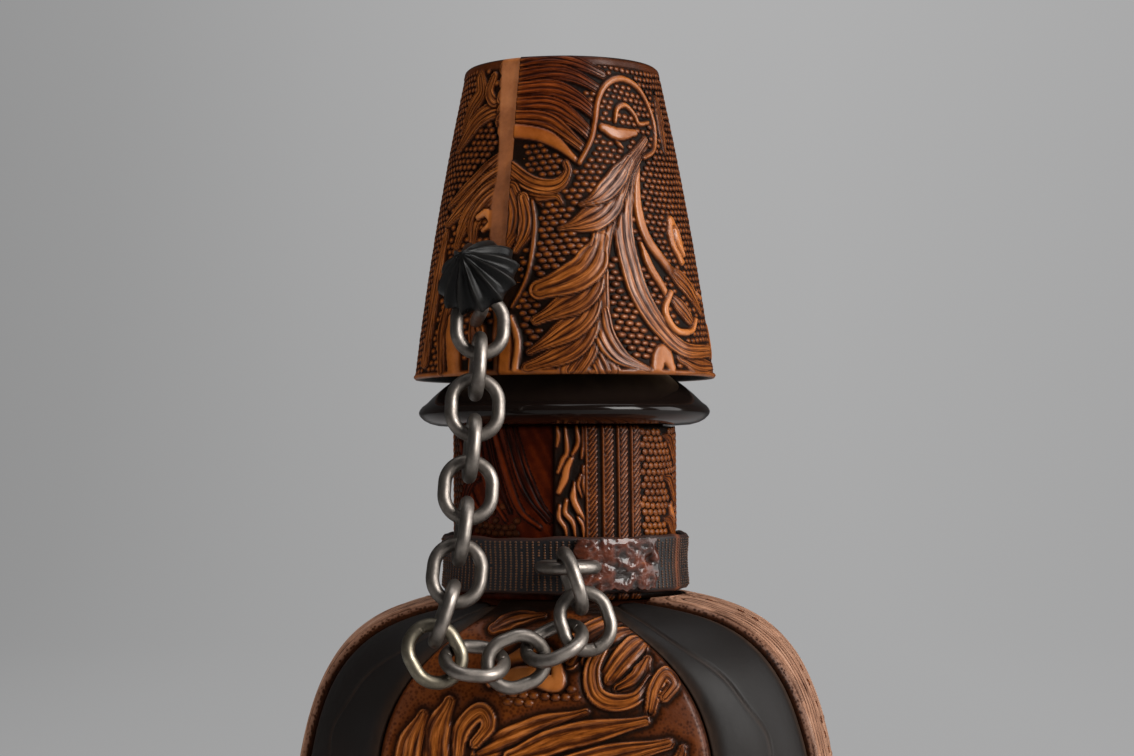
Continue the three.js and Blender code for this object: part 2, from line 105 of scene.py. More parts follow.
# The photograph looks at the flask from this azimuth; camera in metres and degrees
VIEW_AZIMUTH = 7.0
CAMERA_BACK = 0.27854
CAMERA_HEIGHT = 0.20262
CAMERA_ASIDE = 0.000349
CAMERA_LENS = 71.35
CAMERA_PITCH = 2.031
CAMERA_ROLL = 0.375


def length_property(name, description, default):
    return bpy.props.FloatProperty(name=name, description=description, default=default, unit="LENGTH")


def colour_property(name, description, default):
    return bpy.props.FloatVectorProperty(
        name=name, description=description, default=default, size=3,
        subtype="COLOR", min=0.0, max=1.0)


class FlaskSizes(bpy.types.PropertyGroup):
    """Sizes of the flask's details"""

    relief: length_property("Relief", "Rise of the tooling over its ground", 0.00046)
    bead_pitch: length_property("Pebble pitch", "Distance between pebbles in a row", 0.00104)
    bead_row: length_property("Pebble rows", "Distance between rows of pebbles", 0.00074)
    link_length: length_property("Link length", "Outside length of a chain link", 0.0082)
    link_width: length_property("Link width", "Outside width of a chain link", 0.0070)
    wire: length_property("Wire", "Wire diameter of links, ring and loop", 0.00155)
    stud_radius: length_property("Stud radius", "Radius of the fluted nail head", 0.00515)
    stud_flutes: bpy.props.IntProperty(
        name="Stud flutes", description="Hollows round the nail head", default=12)
    collar_pitch: length_property("Collar rib pitch", "Distance between ribs of the collar strap", 0.00072)


class FlaskColours(bpy.types.PropertyGroup):
    """Colours of the flask's finishes"""

    tan: colour_property("Tan", "Raised leather", (0.230, 0.062, 0.0070))
    brown: colour_property("Brown", "Flanks of the tooling", (0.070, 0.0155, 0.0024))
    antique: colour_property("Antique", "Dark wash in the recesses", (0.0060, 0.0028, 0.0015))
    strip: colour_property("Strip", "Smooth dark leather", (0.0085, 0.0066, 0.0058))
    patch: colour_property("Patch", "Worn red-brown leather", (0.115, 0.026, 0.010))
    glass: colour_property("Glass", "Dark amber glass", (0.0065, 0.0040, 0.0032))
    steel: colour_property("Steel", "Chain wire", (0.315, 0.278, 0.248))
    brass: colour_property("Brass", "Worn link with a brass tint", (0.325, 0.285, 0.215))
    black: colour_property("Black", "Lacquered nail head", (0.0042, 0.0040, 0.0040))
    backdrop: colour_property("Backdrop", "Grey sweep", (0.42, 0.42, 0.422))


# Shader expressions


class Tone:
    """A shader socket that takes part in Python sums."""

    def __init__(self, tree, socket):
        self.tree, self.socket = tree, socket

    def sum(self, operation, a, b=None):
        node = self.tree.nodes.new("ShaderNodeMath")
        node.operation = operation
        for value, slot in zip((a, b), node.inputs):
            if isinstance(value, Tone):
                self.tree.links.new(value.socket, slot)
            elif value is not None:
                slot.default_value = value
        return Tone(self.tree, node.outputs[0])

    def __add__(self, other):
        return self.sum("ADD", self, other)

    def __sub__(self, other):
        return self.sum("SUBTRACT", self, other)

    def __rsub__(self, other):
        return self.sum("SUBTRACT", other, self)

    def __mul__(self, other):
        return self.sum("MULTIPLY", self, other)

    def __pow__(self, other):
        return self.sum("POWER", self, other)

    __radd__ = __add__
    __rmul__ = __mul__

    def clamped(self):
        return self.sum("MINIMUM", self.sum("MAXIMUM", self, 0.0), 1.0)

    def wave(self):
        return self.sum("COSINE", self * (2 * math.pi)) * 0.5 + 0.5

    def step(self, low, high):
        return ((self - low) * (1.0 / (high - low))).clamped()


class Finish:
    """A material with a Principled surface, built from expressions."""

    def __init__(self, name, **surface):
        self.material = bpy.data.materials.new(name)
        self.material.use_nodes = True
        self.tree = self.material.node_tree
        self.surface = self.tree.nodes["Principled BSDF"]
        for socket, value in surface.items():
            self.set(socket.replace("_", " "), value)

    def node(self, kind, settings=None, sockets=None, output=0):
        node = self.tree.nodes.new(kind)
        for key, value in (settings or {}).items():
            if key == "stops":
                ramp = node.color_ramp
                while len(ramp.elements) < len(value):
                    ramp.elements.new(0.5)
                for element, (place, colour) in zip(ramp.elements, value):
                    element.position = place
                    element.color = (*colour, 1.0)
            else:
                setattr(node, key, value)
        for key, value in (sockets or {}).items():
            self.feed(node.inputs[key], value)
        return Tone(self.tree, node.outputs[output])

    def feed(self, slot, value):
        """Links a tone to a socket, or sets the socket's own value."""
        if isinstance(value, Tone):
            self.tree.links.new(value.socket, slot)
        elif slot.type == "RGBA" and len(value) == 3:
            slot.default_value = (*value, 1.0)
        else:
            slot.default_value = value

    def set(self, socket, value):
        self.feed(self.surface.inputs[socket], value)

    def place(self):
        return self.node("ShaderNodeTexCoord", output="Object")

    def scaled(self, vector, scale):
        return self.node("ShaderNodeMapping", {}, {"Vector": vector, "Scale": scale})

    def attribute(self, name):
        return self.node("ShaderNodeAttribute", {"attribute_name": name}, output="Fac")

    def noise(self, vector, scale, detail=2.0, roughness=0.5):
        return self.node(
            "ShaderNodeTexNoise", {},
            {"Vector": vector, "Scale": scale, "Detail": detail, "Roughness": roughness}, "Fac")

    def cells(self, vector, scale):
        sockets = {"Vector": vector, "Scale": scale}
        return self.node("ShaderNodeTexVoronoi", {"feature": "F1"}, sockets, "Distance")

    def ramp(self, factor, stops):
        return self.node("ShaderNodeValToRGB", {"stops": stops}, {"Fac": factor}, "Color")

    def mix(self, a, b, factor, blend="MIX"):
        settings = {"data_type": "RGBA", "blend_type": blend, "clamp_factor": True}
        return self.node("ShaderNodeMix", settings, {0: factor, 6: a, 7: b}, 2)

    def bump(self, height, distance, strength=1.0, under=None):
        sockets = {"Height": height, "Distance": distance, "Strength": strength}
        if under is not None:
            sockets["Normal"] = under
        return self.node("ShaderNodeBump", {}, sockets, "Normal")


def tooled_leather(colours):
    f = Finish("tooled leather", Coat_Roughness=0.28, Specular_IOR_Level=0.06)
    place = f.place()
    lift, comb, combed = f.attribute("lift"), f.attribute("comb"), f.attribute("combed")
    dusk, worn = f.attribute("dusk"), f.attribute("worn")
    cloud = f.noise(place, 110.0, 4.0, 0.6)
    smear = f.noise(place, 430.0, 4.0, 0.7)
    grain = f.noise(place, 3400.0, 2.0, 0.6)
    pores = f.cells(place, 2600.0)
    lines = comb.wave() ** 3.0
    thread = f.node("ShaderNodeCombineXYZ", {}, {"X": comb * 4.0, "Y": f.attribute("along") * 0.25})
    streak = (f.noise(thread, 1.0, 3.0, 0.65) - 0.5) * combed
    level = lift * 0.88 - combed * lines * 0.22 + streak * 1.5
    level = level + (cloud - 0.5) * 0.36 + (smear - 0.5) * 0.46
    speck = 1.0 - f.cells(place, 2300.0).step(0.05, 0.55)
    level = level - f.attribute("stipple") * (speck * 0.22 + (smear - 0.5) * 0.5)
    # The ramp's top is partly the worn tops' own paler tan, partly a painted highlight from the little white
    # added.
    pale_and_highlight = [c * 1.6 + highlight_white for c, highlight_white in zip(colours.tan, (0.05, 0.036, 0.018))]
    hide = f.ramp(level.clamped(), [
        (0.0, colours.antique),
        (0.24, [0.25 * b + 0.75 * a for a, b in zip(colours.antique, colours.brown)]),
        (0.48, colours.brown),
        (0.76, colours.tan),
        (1.0, pale_and_highlight),
    ])
    hide = f.mix(hide, (0.43, 0.25, 0.17), (worn * level.step(0.25, 0.9)).clamped())
    # The stain and shade mask darkens the colour and, below, takes off the coat: a real stain on the
    # stopper, painted shade on the neck.
    f.set("Base Color", f.mix(hide, (0.42, 0.17, 0.10), dusk, "MULTIPLY"))
    f.set("Roughness", (0.50 - level * 0.12 + (smear - 0.5) * 0.26).clamped())
    f.set("Coat Weight", (level.step(0.26, 0.90) * (0.68 - dusk * 0.68)).clamped())
    fine = f.bump(grain * 0.6 + pores * 0.5, 0.00007, 0.55)
    f.set("Normal", f.bump(streak - combed * lines, 0.00016, 0.8, fine))
    return f.material


def strip_leather(colours):
    f = Finish("smooth dark leather", Coat_Roughness=0.33, Specular_IOR_Level=0.12)
    place = f.place()
    cloud = f.noise(place, 42.0, 4.0, 0.55)
    scuff = f.noise(f.scaled(place, (1.0, 1.0, 0.28)), 900.0, 4.0, 0.7)
    grain = f.cells(place, 1500.0)
    wear, glow = f.attribute("wear"), f.attribute("glow")
    base = f.mix(colours.strip, (0.013, 0.0135, 0.0150), (cloud - 0.30).clamped() * 0.9)
    # Painted reflection: a brown glow low in the middle of each strip.
    base = f.mix(base, (0.040, 0.0145, 0.0060), (glow * (cloud * 1.5 - 0.15)).clamped())
    base = f.mix(base, (0.085, 0.042, 0.022), (wear * (scuff * 1.7 - 0.3)).clamped())
    f.set("Base Color", base)
    f.set("Roughness", (0.52 + (cloud - 0.5) * 0.24 + (scuff - 0.5) * 0.18 + wear * 0.1).clamped())
    f.set("Coat Weight", (0.06 - wear * 0.06).clamped())
    f.set("Normal", f.bump(grain * 0.5 + scuff * 0.5, 0.00006, 0.35))
    return f.material


def collar_leather(colours):
    f = Finish("ribbed collar leather", Specular_IOR_Level=0.22)
    place = f.place()
    lift, wear = f.attribute("lift"), f.attribute("wear")
    cloud = f.noise(place, 260.0, 3.0, 0.6)
    grain = f.noise(place, 3000.0, 2.0)
    base = f.mix((0.011, 0.0105, 0.0115), (0.17, 0.072, 0.031), (lift * (cloud * 1.9 - 0.05)).clamped())
    f.set("Base Color", f.mix(base, (0.16, 0.048, 0.020), (wear * (cloud * 1.4)).clamped()))
    f.set("Roughness", (0.44 + (cloud - 0.5) * 0.3).clamped())
    f.set("Normal", f.bump(grain, 0.00005, 0.4))
    return f.material


def patch_leather(colours):
    f = Finish("lacquered patch leather", Coat_Roughness=0.07, Specular_IOR_Level=0.22)
    place = f.place()
    lift = f.attribute("lift")
    cloud = f.noise(place, 300.0, 3.0, 0.6)
    flake = f.noise(place, 900.0, 2.0, 0.5)
    crinkle = f.noise(f.scaled(place, (1.0, 1.0, 1.7)), 420.0, 4.0, 0.6)
    level = (lift * 0.52 + (cloud - 0.55) * 0.9 + (crinkle - 0.5) * 1.1).clamped()
    f.set("Base Color", f.ramp(level, [
        (0.0, (0.012, 0.0055, 0.004)), (0.30, (0.058, 0.0135, 0.006)),
        (0.66, colours.patch), (1.0, (0.40, 0.115, 0.022))]))
    f.set("Roughness", (0.26 + flake * 0.22).clamped())
    f.set("Coat Weight", (0.80 - cloud * 0.5).clamped())
    f.set("Normal", f.bump(flake * 0.5 + crinkle * 0.9, 0.00030, 0.9))
    return f.material


def dark_glass(colours):
    f = Finish("dark amber glass", Specular_IOR_Level=0.17, Roughness=0.12,
               Coat_Weight=0.09, Coat_Roughness=0.05)
    place = f.place()
    height = f.node("ShaderNodeSeparateXYZ", {}, {"Vector": place}, "Z")
    # Painted brown reflection on the lip's underside, over the glass's own dark amber.
    under = 1.0 - height.step((LIP_Z - 1.3) * MM, (LIP_Z - 0.2) * MM)
    cloud = f.noise(place, 70.0, 2.0)
    amber = (under * (cloud * 0.9 + 0.1)).clamped()
    f.set("Base Color", f.mix(colours.glass, (0.060, 0.014, 0.005), amber))
    f.set("Normal", f.bump(f.noise(place, 55.0, 1.0), 0.0002, 0.25))
    return f.material


def chain_steel(name, tint):
    f = Finish(name, Metallic=1.0)
    place = f.place()
    tarnish = f.noise(place, 380.0, 4.0, 0.7)
    draw = f.noise(place, 1900.0, 3.0, 0.6)
    dirt = f.attribute("dirt")
    dull = ((tarnish - 0.36) * 2.4).clamped()
    base = f.mix(tint, [c * 0.36 for c in tint], dull * 0.9)
    # Darker link ends, where the links hook together: painted shade, with some dirt.
    f.set("Base Color", f.mix(base, (0.035, 0.028, 0.022), (dirt * (0.35 + tarnish * 0.9)).clamped()))
    f.set("Roughness", (0.31 + dull * 0.20 + draw * 0.14 + dirt * 0.15).clamped())
    f.set("Normal", f.bump(draw, 0.00005, 0.35))
    return f.material


def black_lacquer(colours):
    f = Finish("black lacquered iron", Specular_IOR_Level=0.12)
    place = f.place()
    ridge = f.attribute("ridge")
    mottle = f.noise(place, 700.0, 4.0, 0.65)
    worn = (ridge * (mottle * 1.8 - 0.45)).clamped()
    f.set("Base Color", f.mix(colours.black, (0.034, 0.031, 0.028), worn))
    f.set("Roughness", (0.20 + mottle * 0.20 + worn * 0.1).clamped())
    f.set("Metallic", worn * 0.5)
    f.set("Normal", f.bump(mottle, 0.00005, 0.4))
    return f.material


def raw_cork(colours):
    f = Finish("cork", Roughness=0.9)
    place = f.place()
    flecks = f.cells(place, 420.0)
    speck = f.noise(place, 900.0, 3.0, 0.6)
    base = f.ramp((flecks * 0.9 + speck * 0.4).clamped(), [
        (0.0, (0.16, 0.085, 0.035)), (0.35, (0.42, 0.26, 0.13)), (1.0, (0.58, 0.40, 0.22))])
    f.set("Base Color", base)
    f.set("Normal", f.bump(flecks + speck, 0.0003, 0.5))
    return f.material


def turned_wood(colours):
    f = Finish("turned wood", Roughness=0.62)
    place = f.scaled(f.place(), (1.0, 1.0, 0.12))
    rings = f.noise(place, 340.0, 4.0, 0.6)
    f.set("Base Color", f.ramp(rings, [
        (0.25, (0.20, 0.10, 0.042)), (0.55, (0.36, 0.21, 0.10)), (0.8, (0.45, 0.29, 0.15))]))
    f.set("Normal", f.bump(rings, 0.0002, 0.3))
    return f.material


FINISHES = {}


def finish(name):
    """The named finish, made on first use."""
    if name not in FINISHES:
        colours = bpy.context.scene.flask_colours
        makers = {
            "tooled": tooled_leather, "strip": strip_leather, "collar": collar_leather,
            "patch": patch_leather, "glass": dark_glass, "black": black_lacquer,
            "cork": raw_cork, "wood": turned_wood,
            "steel": lambda c: chain_steel("chain steel", tuple(c.steel)),
            "brass": lambda c: chain_steel("brassy chain steel", tuple(c.brass)),
        }
        FINISHES[name] = makers[name](colours)
    return FINISHES[name]


# Meshes from millimetre points


def linked(thing):
    """The object, put into the scene."""
    bpy.context.scene.collection.objects.link(thing)
    return thing


def paint(mesh, key, values):
    """Keeps one number per point under a name that the finishes read."""
    layer = mesh.attributes.new(key, "FLOAT", "POINT")
    layer.data.foreach_set("value", np.asarray(values, np.float32))


def new_object(name, points, faces, attributes=None, material=None):
    mesh = bpy.data.meshes.new(name)
    points = np.asarray(points, float)
    volume = 0.0
    for face in (np.array([f for f in faces if len(f) == k]) for k in {len(f) for f in faces}):
        a = points[face[:, 0]]
        for i in range(1, face.shape[1] - 1):
            volume += np.einsum("ij,ij->", a, np.cross(points[face[:, i]], points[face[:, i + 1]]))
    if volume < 0:
        faces = [tuple(reversed(f)) for f in faces]
    mesh.from_pydata((points * MM).tolist(), [], faces)
    for key, values in (attributes or {}).items():
        paint(mesh, key, values)
    mesh.polygons.foreach_set("use_smooth", np.ones(len(mesh.polygons), bool))
    mesh.update()
    if material:
        mesh.materials.append(finish(material))
    return linked(bpy.data.objects.new(name, mesh))


def loop_faces(rows, count, ring):
    """Quads between successive closed loops; a ring of loops closes on itself, others get end caps."""
    faces = []
    for r in range(rows if ring else rows - 1):
        a, b = r * count, ((r + 1) % rows) * count
        faces += [(a + i, a + (i + 1) % count, b + (i + 1) % count, b + i) for i in range(count)]
    if not ring:
        faces += [tuple(range(count - 1, -1, -1)), tuple(range((rows - 1) * count, rows * count))]
    return faces


def loops_object(name, loops, ring, attributes=None, material=None):
    loops = np.asarray(loops, float)
    rows, count = loops.shape[:2]
    flat = {k: np.asarray(v).reshape(-1) for k, v in (attributes or {}).items()}
    return new_object(name, loops.reshape(-1, 3), loop_faces(rows, count, ring), flat, material)


def turned_object(name, profile, segments, material):
    """Turned piece from (radius, height) rows that start and end on the axis."""
    profile = np.asarray(profile, float)
    middle = profile[1:-1]
    angle = np.linspace(0, 2 * np.pi, segments, endpoint=False)
    ring = np.stack([np.sin(angle), -np.cos(angle)], 1)
    points = [[0, 0, profile[0, 1]]]
    for r, z in middle:
        points += np.column_stack([ring * r, np.full(segments, z)]).tolist()
    points.append([0, 0, profile[-1, 1]])
    last = len(points) - 1
    faces = []
    for i in range(segments):
        j = (i + 1) % segments
        faces.append((0, 1 + j, 1 + i))
        for k in range(len(middle) - 1):
            a, b = 1 + k * segments, 1 + (k + 1) * segments
            faces.append((a + i, a + j, b + j, b + i))
        a = 1 + (len(middle) - 1) * segments
        faces.append((a + i, a + j, last))
    return new_object(name, points, faces, None, material)


def settle(piece, body, slot, *nodes):
    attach(piece, body)
    if nodes:
        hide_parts(*nodes)


# Geometry Nodes


def node_tree(name, inputs):
    """A new tree with named inputs, its group input and a function that adds a node."""
    tree = bpy.data.node_groups.new(name, "GeometryNodeTree")
    tree.interface.new_socket(name="Geometry", in_out="INPUT", socket_type="NodeSocketGeometry")
    for key, kind in inputs.items():
        tree.interface.new_socket(name=key, in_out="INPUT", socket_type=kind)
    tree.interface.new_socket(name="Geometry", in_out="OUTPUT", socket_type="NodeSocketGeometry")
    start = tree.nodes.new("NodeGroupInput")
    end = tree.nodes.new("NodeGroupOutput")

    def node(kind, settings=None, sockets=None):
        made = tree.nodes.new(kind)
        for key, value in (settings or {}).items():
            setattr(made, key, value)
        for key, value in (sockets or {}).items():
            if isinstance(value, bpy.types.NodeSocket):
                tree.links.new(value, made.inputs[key])
            else:
                made.inputs[key].default_value = value
        return made

    def close(geometry):
        whole = node("GeometryNodeRealizeInstances", {}, {"Geometry": geometry})
        smooth = node("GeometryNodeSetShadeSmooth", {}, {"Geometry": whole.outputs[0]})
        painted = node(
            "GeometryNodeSetMaterial", {},
            {"Geometry": smooth.outputs[0], "Material": start.outputs["Material"]})
        tree.links.new(painted.outputs[0], end.inputs[0])

    return tree, start, node, close


def grown(name, carrier, tree, values):
    """Plain mesh of a tree run on a carrier mesh."""
    base = linked(bpy.data.objects.new(name + " carrier", carrier))
    modifier = base.modifiers.new("form", "NODES")
    modifier.node_group = tree
    for item in tree.interface.items_tree:
        if item.in_out == "INPUT" and item.name in values:
            modifier[item.identifier] = values[item.name]
    graph = bpy.context.evaluated_depsgraph_get()
    mesh = bpy.data.meshes.new_from_object(base.evaluated_get(graph))
    mesh.name = name
    base.modifiers.remove(modifier)
    bpy.data.objects.remove(base)
    return linked(bpy.data.objects.new(name, mesh))


def pebble_tree():
    """Stands one low dome on every point, turned by the point's own axes."""
    if "Pebble ground" in bpy.data.node_groups:
        return bpy.data.node_groups["Pebble ground"]
    tree, start, node, close = node_tree("Pebble ground", {
        "Dome": "NodeSocketObject", "Size": "NodeSocketFloat", "Material": "NodeSocketMaterial"})
    named = lambda key: node(
        "GeometryNodeInputNamedAttribute", {"data_type": "FLOAT_VECTOR"}, {"Name": key}).outputs[0]
    dome = node("GeometryNodeObjectInfo", {}, {"Object": start.outputs["Dome"]})
    turn = node("FunctionNodeAxesToRotation", {"primary_axis": "Z", "secondary_axis": "X"},
                {"Primary Axis": named("facing"), "Secondary Axis": named("along")})
    size = node("ShaderNodeVectorMath", {"operation": "SCALE"},
                {"Vector": named("extent"), "Scale": start.outputs["Size"]})
    stood = node("GeometryNodeInstanceOnPoints", {}, {
        "Points": start.outputs["Geometry"], "Instance": dome.outputs["Geometry"],
        "Rotation": turn.outputs[0], "Scale": size.outputs[0]})
    close(stood.outputs[0])
    return tree


def dome_form(sides, tones):
    """Closed dome of unit radius and height, with tones from foot to top kept as lift."""
    rings = [(1.0, 0.0, tones[0]), (0.88, 0.74, tones[1])]
    points, lift = [], []
    for r, z, level in rings:
        for i in range(sides):
            a = 2 * math.pi * i / sides
            points.append((TO_MM * r * math.cos(a), TO_MM * r * math.sin(a), TO_MM * z))
            lift.append(level)
    points.append((0, 0, TO_MM))
    lift.append(tones[2])
    faces = [tuple(range(sides - 1, -1, -1))]
    for i in range(sides):
        j = (i + 1) % sides
        faces += [(i, j, sides + j, sides + i), (sides + i, sides + j, 2 * sides)]
    return new_object("dome form", points, faces, {"lift": lift})


# The default tones end in a bright crown, partly a painted highlight.
def pebbles(name, points, facing, along, extent, material, sides=8, tones=(0.03, 0.33, 0.92)):
    """Domes on points (mm) with their axes and half sizes (mm)."""
    carrier = bpy.data.meshes.new(name + " points")
    carrier.from_pydata((np.asarray(points) * MM).tolist(), [], [])
    for key, values in (("facing", facing), ("along", along), ("extent", extent)):
        layer = carrier.attributes.new(key, "FLOAT_VECTOR", "POINT")
        layer.data.foreach_set("vector", np.asarray(values, np.float32).ravel())
    dome = dome_form(sides, tones)
    piece = grown(name, carrier, pebble_tree(), {"Dome": dome, "Size": MM, "Material": finish(material)})
    bpy.data.objects.remove(dome)
    return piece


def link_tree():
    """Round wire bent to a stadium of the given length and width."""
    if "Wire link" in bpy.data.node_groups:
        return bpy.data.node_groups["Wire link"]
    tree, start, node, close = node_tree("Wire link", {
        "Length": "NodeSocketFloat", "Width": "NodeSocketFloat", "Wire": "NodeSocketFloat",
        "Material": "NodeSocketMaterial"})
    value = start.outputs
    less = lambda a: node("ShaderNodeMath", {"operation": "SUBTRACT"}, {0: a, 1: value["Wire"]}).outputs[0]
    half = lambda a, k: node("ShaderNodeMath", {"operation": "MULTIPLY"}, {0: a, 1: k}).outputs[0]
    box = node("GeometryNodeCurvePrimitiveQuadrilateral", {"mode": "RECTANGLE"},
               {"Width": less(value["Length"]), "Height": less(value["Width"])})
    bow = node("GeometryNodeFilletCurve", {"mode": "POLY"}, {
        "Curve": box.outputs[0], "Radius": half(less(value["Width"]), 0.4999), "Count": 14})
    wire = node("GeometryNodeCurvePrimitiveCircle", {"mode": "RADIUS"}, {
        "Resolution": 20, "Radius": half(value["Wire"], 0.5)})
    bent = node("GeometryNodeCurveToMesh", {}, {"Curve": bow.outputs[0], "Profile Curve": wire.outputs[0]})
    close(bent.outputs[0])
    return tree


def wire_link(name, length, width, matrix, material, wire):
    carrier = bpy.data.meshes.new(name + " start")
    piece = grown(name, carrier, link_tree(), {
        "Length": length, "Width": width, "Wire": wire, "Material": finish(material)})
    piece.data.transform(matrix)
    return piece


# Tooling: strokes raised over a sunken ground


def spline(path, steps=8):
    """Smooth line through hand-set points."""
    p = np.asarray(path, float)
    p = np.vstack([2 * p[0] - p[1], p, 2 * p[-1] - p[-2]])
    t = np.linspace(0, 1, steps, endpoint=False)[:, None]
    out = []
    for a, b, c, d in zip(p, p[1:], p[2:], p[3:]):
        out.append(0.5 * (2 * b + (c - a) * t + (2 * a - 5 * b + 4 * c - d) * t**2
                          + (3 * b - a - 3 * c + d) * t**3))
    return np.vstack([*out, p[-2:-1]])


def from_line(points, line):
    """Distance, signed side and place along (0..1) of points from a polyline."""
    span = np.diff(line, axis=0)
    length = np.hypot(span[:, 0], span[:, 1])
    start = np.concatenate([[0.0], np.cumsum(length)])
    best = np.full(len(points), 1e9)
    side, place = np.zeros(len(points)), np.zeros(len(points))
    for a, ab, size, begin in zip(line, span, length, start):
        ap = points - a
        t = np.clip(ap @ ab / max(size * size, 1e-9), 0.0, 1.0)
        off = ap - t[:, None] * ab
        far = np.hypot(off[:, 0], off[:, 1])
        near = far < best
        best[near] = far[near]
        side[near] = np.sign(ab[0] * ap[near, 1] - ab[1] * ap[near, 0])
        place[near] = (begin + t[near] * size) / start[-1]
    return best, best * side, place


def smooth(low, high, x):
    t = np.clip((x - low) / (high - low), 0.0, 1.0)
    return t * t * (3 - 2 * t)


def beside(values, tail):
    """Columns of a grid with the columns of the sheet's inside after them."""
    return np.concatenate([values, tail], 1)


def turn_from(azimuth, start):
    """Signed degrees from a seam, positive to its right."""
    return (azimuth - start + 180.0) % 360.0 - 180.0


# Millimetres: how far a stroke acts beyond its edge, softness of that edge, start value of the gap
STROKE_REACH = 1.2
EDGE_SOFTNESS = 0.13
NO_STROKE = 9.0
# Share of a stroke's height that its combed lines sink, and what sets the streaks of two strokes apart
COMB_DEPTH = 0.15
STREAK_STEP = 13.7
# Fields that the tooled finish reads for the combed lines
GRAIN = ("comb", "combed", "along")


class Tooling:
    """Relief over pattern points in millimetres; the pattern may close on itself along its width."""

    def __init__(self, u, v, period=None, ground=0.0, groove=0.18):
        self.shape = np.shape(u)
        self.points = np.column_stack([np.ravel(u), np.ravel(v)])
        self.period, self.groove = period, groove
        count = len(self.points)
        self.rise = np.full(count, ground)
        self.gap = np.full(count, NO_STROKE)
        self.comb = np.zeros(count)
        self.combed = np.zeros(count)
        self.along = np.zeros(count)
        self.strokes = 0

    def stroke(self, path, width, strands=0, height=1.0, ends=(0.55, 0.2), root=0.0):
        """One raised stroke: half width, combed strands, height, relative end widths, and the share that
        grows out of what lies below."""
        line = spline(path)
        points = self.points
        if self.period:
            middle = line[:, 0].mean()
            turn = (points[:, 0] - middle + self.period / 2) % self.period - self.period / 2 + middle
            points = np.column_stack([turn, points[:, 1]])
        reach = max(width * ends[1], width) + STROKE_REACH
        low, high = line.min(0) - reach, line.max(0) + reach
        near = np.flatnonzero(((points > low) & (points < high)).all(1))
        if not len(near):
            return
        far, side, place = from_line(points[near], line)
        half = width * (ends[0] + (1 - ends[0]) * smooth(0.0, 0.3, place))
        half *= ends[1] + (1 - ends[1]) * smooth(0.0, 0.45, 1.0 - place)
        out = far - half
        q = np.clip(side / np.maximum(half, 0.05), -1.0, 1.0)
        free = smooth(0.0, root, place) if root else np.ones(len(near))
        phase = strands * q * 0.5 + (0.5 if strands % 2 == 0 else 0.0)
        if strands:
            body = height * (0.74 + 0.26 * np.abs(q) ** 2.5)
            body -= COMB_DEPTH * height * (0.5 + 0.5 * np.cos(2 * np.pi * phase)) ** 3
        else:
            body = height * (0.66 + 0.34 * np.sqrt(np.clip(1 - q * q, 0, 1)))
        inside = smooth(EDGE_SOFTNESS, -EDGE_SOFTNESS, out)
        groove = np.exp(-((np.maximum(out, 0.0) / self.groove) ** 2))
        below = self.rise[near] * (1 - 0.9 * free * groove)
        body = body * free + np.maximum(body, below) * (1 - free)
        self.rise[near] = below * (1 - inside) + body * inside
        self.combed[near] = self.combed[near] * (1 - inside) + inside * (1.0 if strands else 0.0)
        core = (out < 0.05) & (free > 0.35)
        self.comb[near[core]] = phase[core]
        self.strokes += 1
        run = np.hypot(*np.diff(line, axis=0).T).sum()
        self.along[near[core]] = place[core] * run + STREAK_STEP * self.strokes
        self.gap[near] = np.minimum(self.gap[near], out)

    def field(self, name):
        return getattr(self, name).reshape(self.shape)

    def grain(self, tail):
        """Attributes of the combed lines, with a plain tail of columns behind."""
        return {key: beside(self.field(key), tail) for key in GRAIN}


def ground_points(width, height, pitch, row, seed):
    """Staggered rows of points over a pattern, with a little unevenness."""
    rng = np.random.default_rng(seed)
    points = []
    for j, v in enumerate(np.arange(row, height - 0.4 * row, row)):
        u = np.arange(-width / 2 + (0.5 * pitch if j % 2 else 0.0), width / 2, pitch)
        points.append(np.column_stack([u, np.full(len(u), v)]))
    points = np.vstack(points)
    points[:, 1] += 0.30 * np.sin(points[:, 0] * 0.31 + 0.6)
    points[:, 0] += 0.22 * np.sin(points[:, 1] * 0.45)
    return points + rng.uniform(-0.05, 0.05, points.shape)


# Stopper

# Radius that the wrap's pattern is unrolled at, and its rise towards the axis
CAP_MEAN = 15.8
CAP_SLOPE = 0.17


def cap_radius(z):
    f = (np.asarray(z, float) - CAP_Z[0]) / (CAP_Z[1] - CAP_Z[0])
    return CAP_RADIUS[0] + (CAP_RADIUS[1] - CAP_RADIUS[0]) * f + CAP_BARREL * 4 * f * (1 - f)


def around(azimuth, radius, z):
    """Points at an azimuth (degrees from the front, positive to the right), radius and height."""
    a = np.radians(azimuth)
    azimuth, radius, z = np.broadcast_arrays(a, radius, z)
    return np.stack([radius * np.sin(a), -radius * np.cos(a), z], -1)


# Stopper tooling on a front elevation: x to the right of the view's axis, v above the bottom edge
# (points, half width, combed strands, height, end widths, share that grows out of what lies below)
PLUME = [
    ([(-7.0, 37.2), (-1.8, 37.9), (1.6, 37.4), (4.9, 36.0)], 0.95, 3, 0.80, (1.0, 0.6)),
    ([(-7.0, 35.4), (-1.9, 36.2), (1.3, 35.8), (4.5, 34.1)], 1.00, 3, 0.80, (1.0, 0.6)),
    ([(-7.0, 33.6), (-1.6, 34.0), (1.6, 32.9), (3.8, 31.2)], 1.30, 4, 0.95, (1.0, 0.6)),
    ([(-7.0, 31.8), (-1.9, 32.0), (1.0, 30.6), (3.2, 28.6)], 1.30, 4, 0.95, (1.0, 0.6)),
    ([(-7.2, 30.6), (-2.4, 30.2), (0.2, 28.7), (2.5, 26.8)], 1.20, 3, 1.0, (1.0, 0.5)),
    ([(-7.2, 29.4), (-2.9, 28.6), (-0.6, 27.4), (1.8, 25.2)], 0.90, 0, 1.0, (1.0, 0.4)),
]
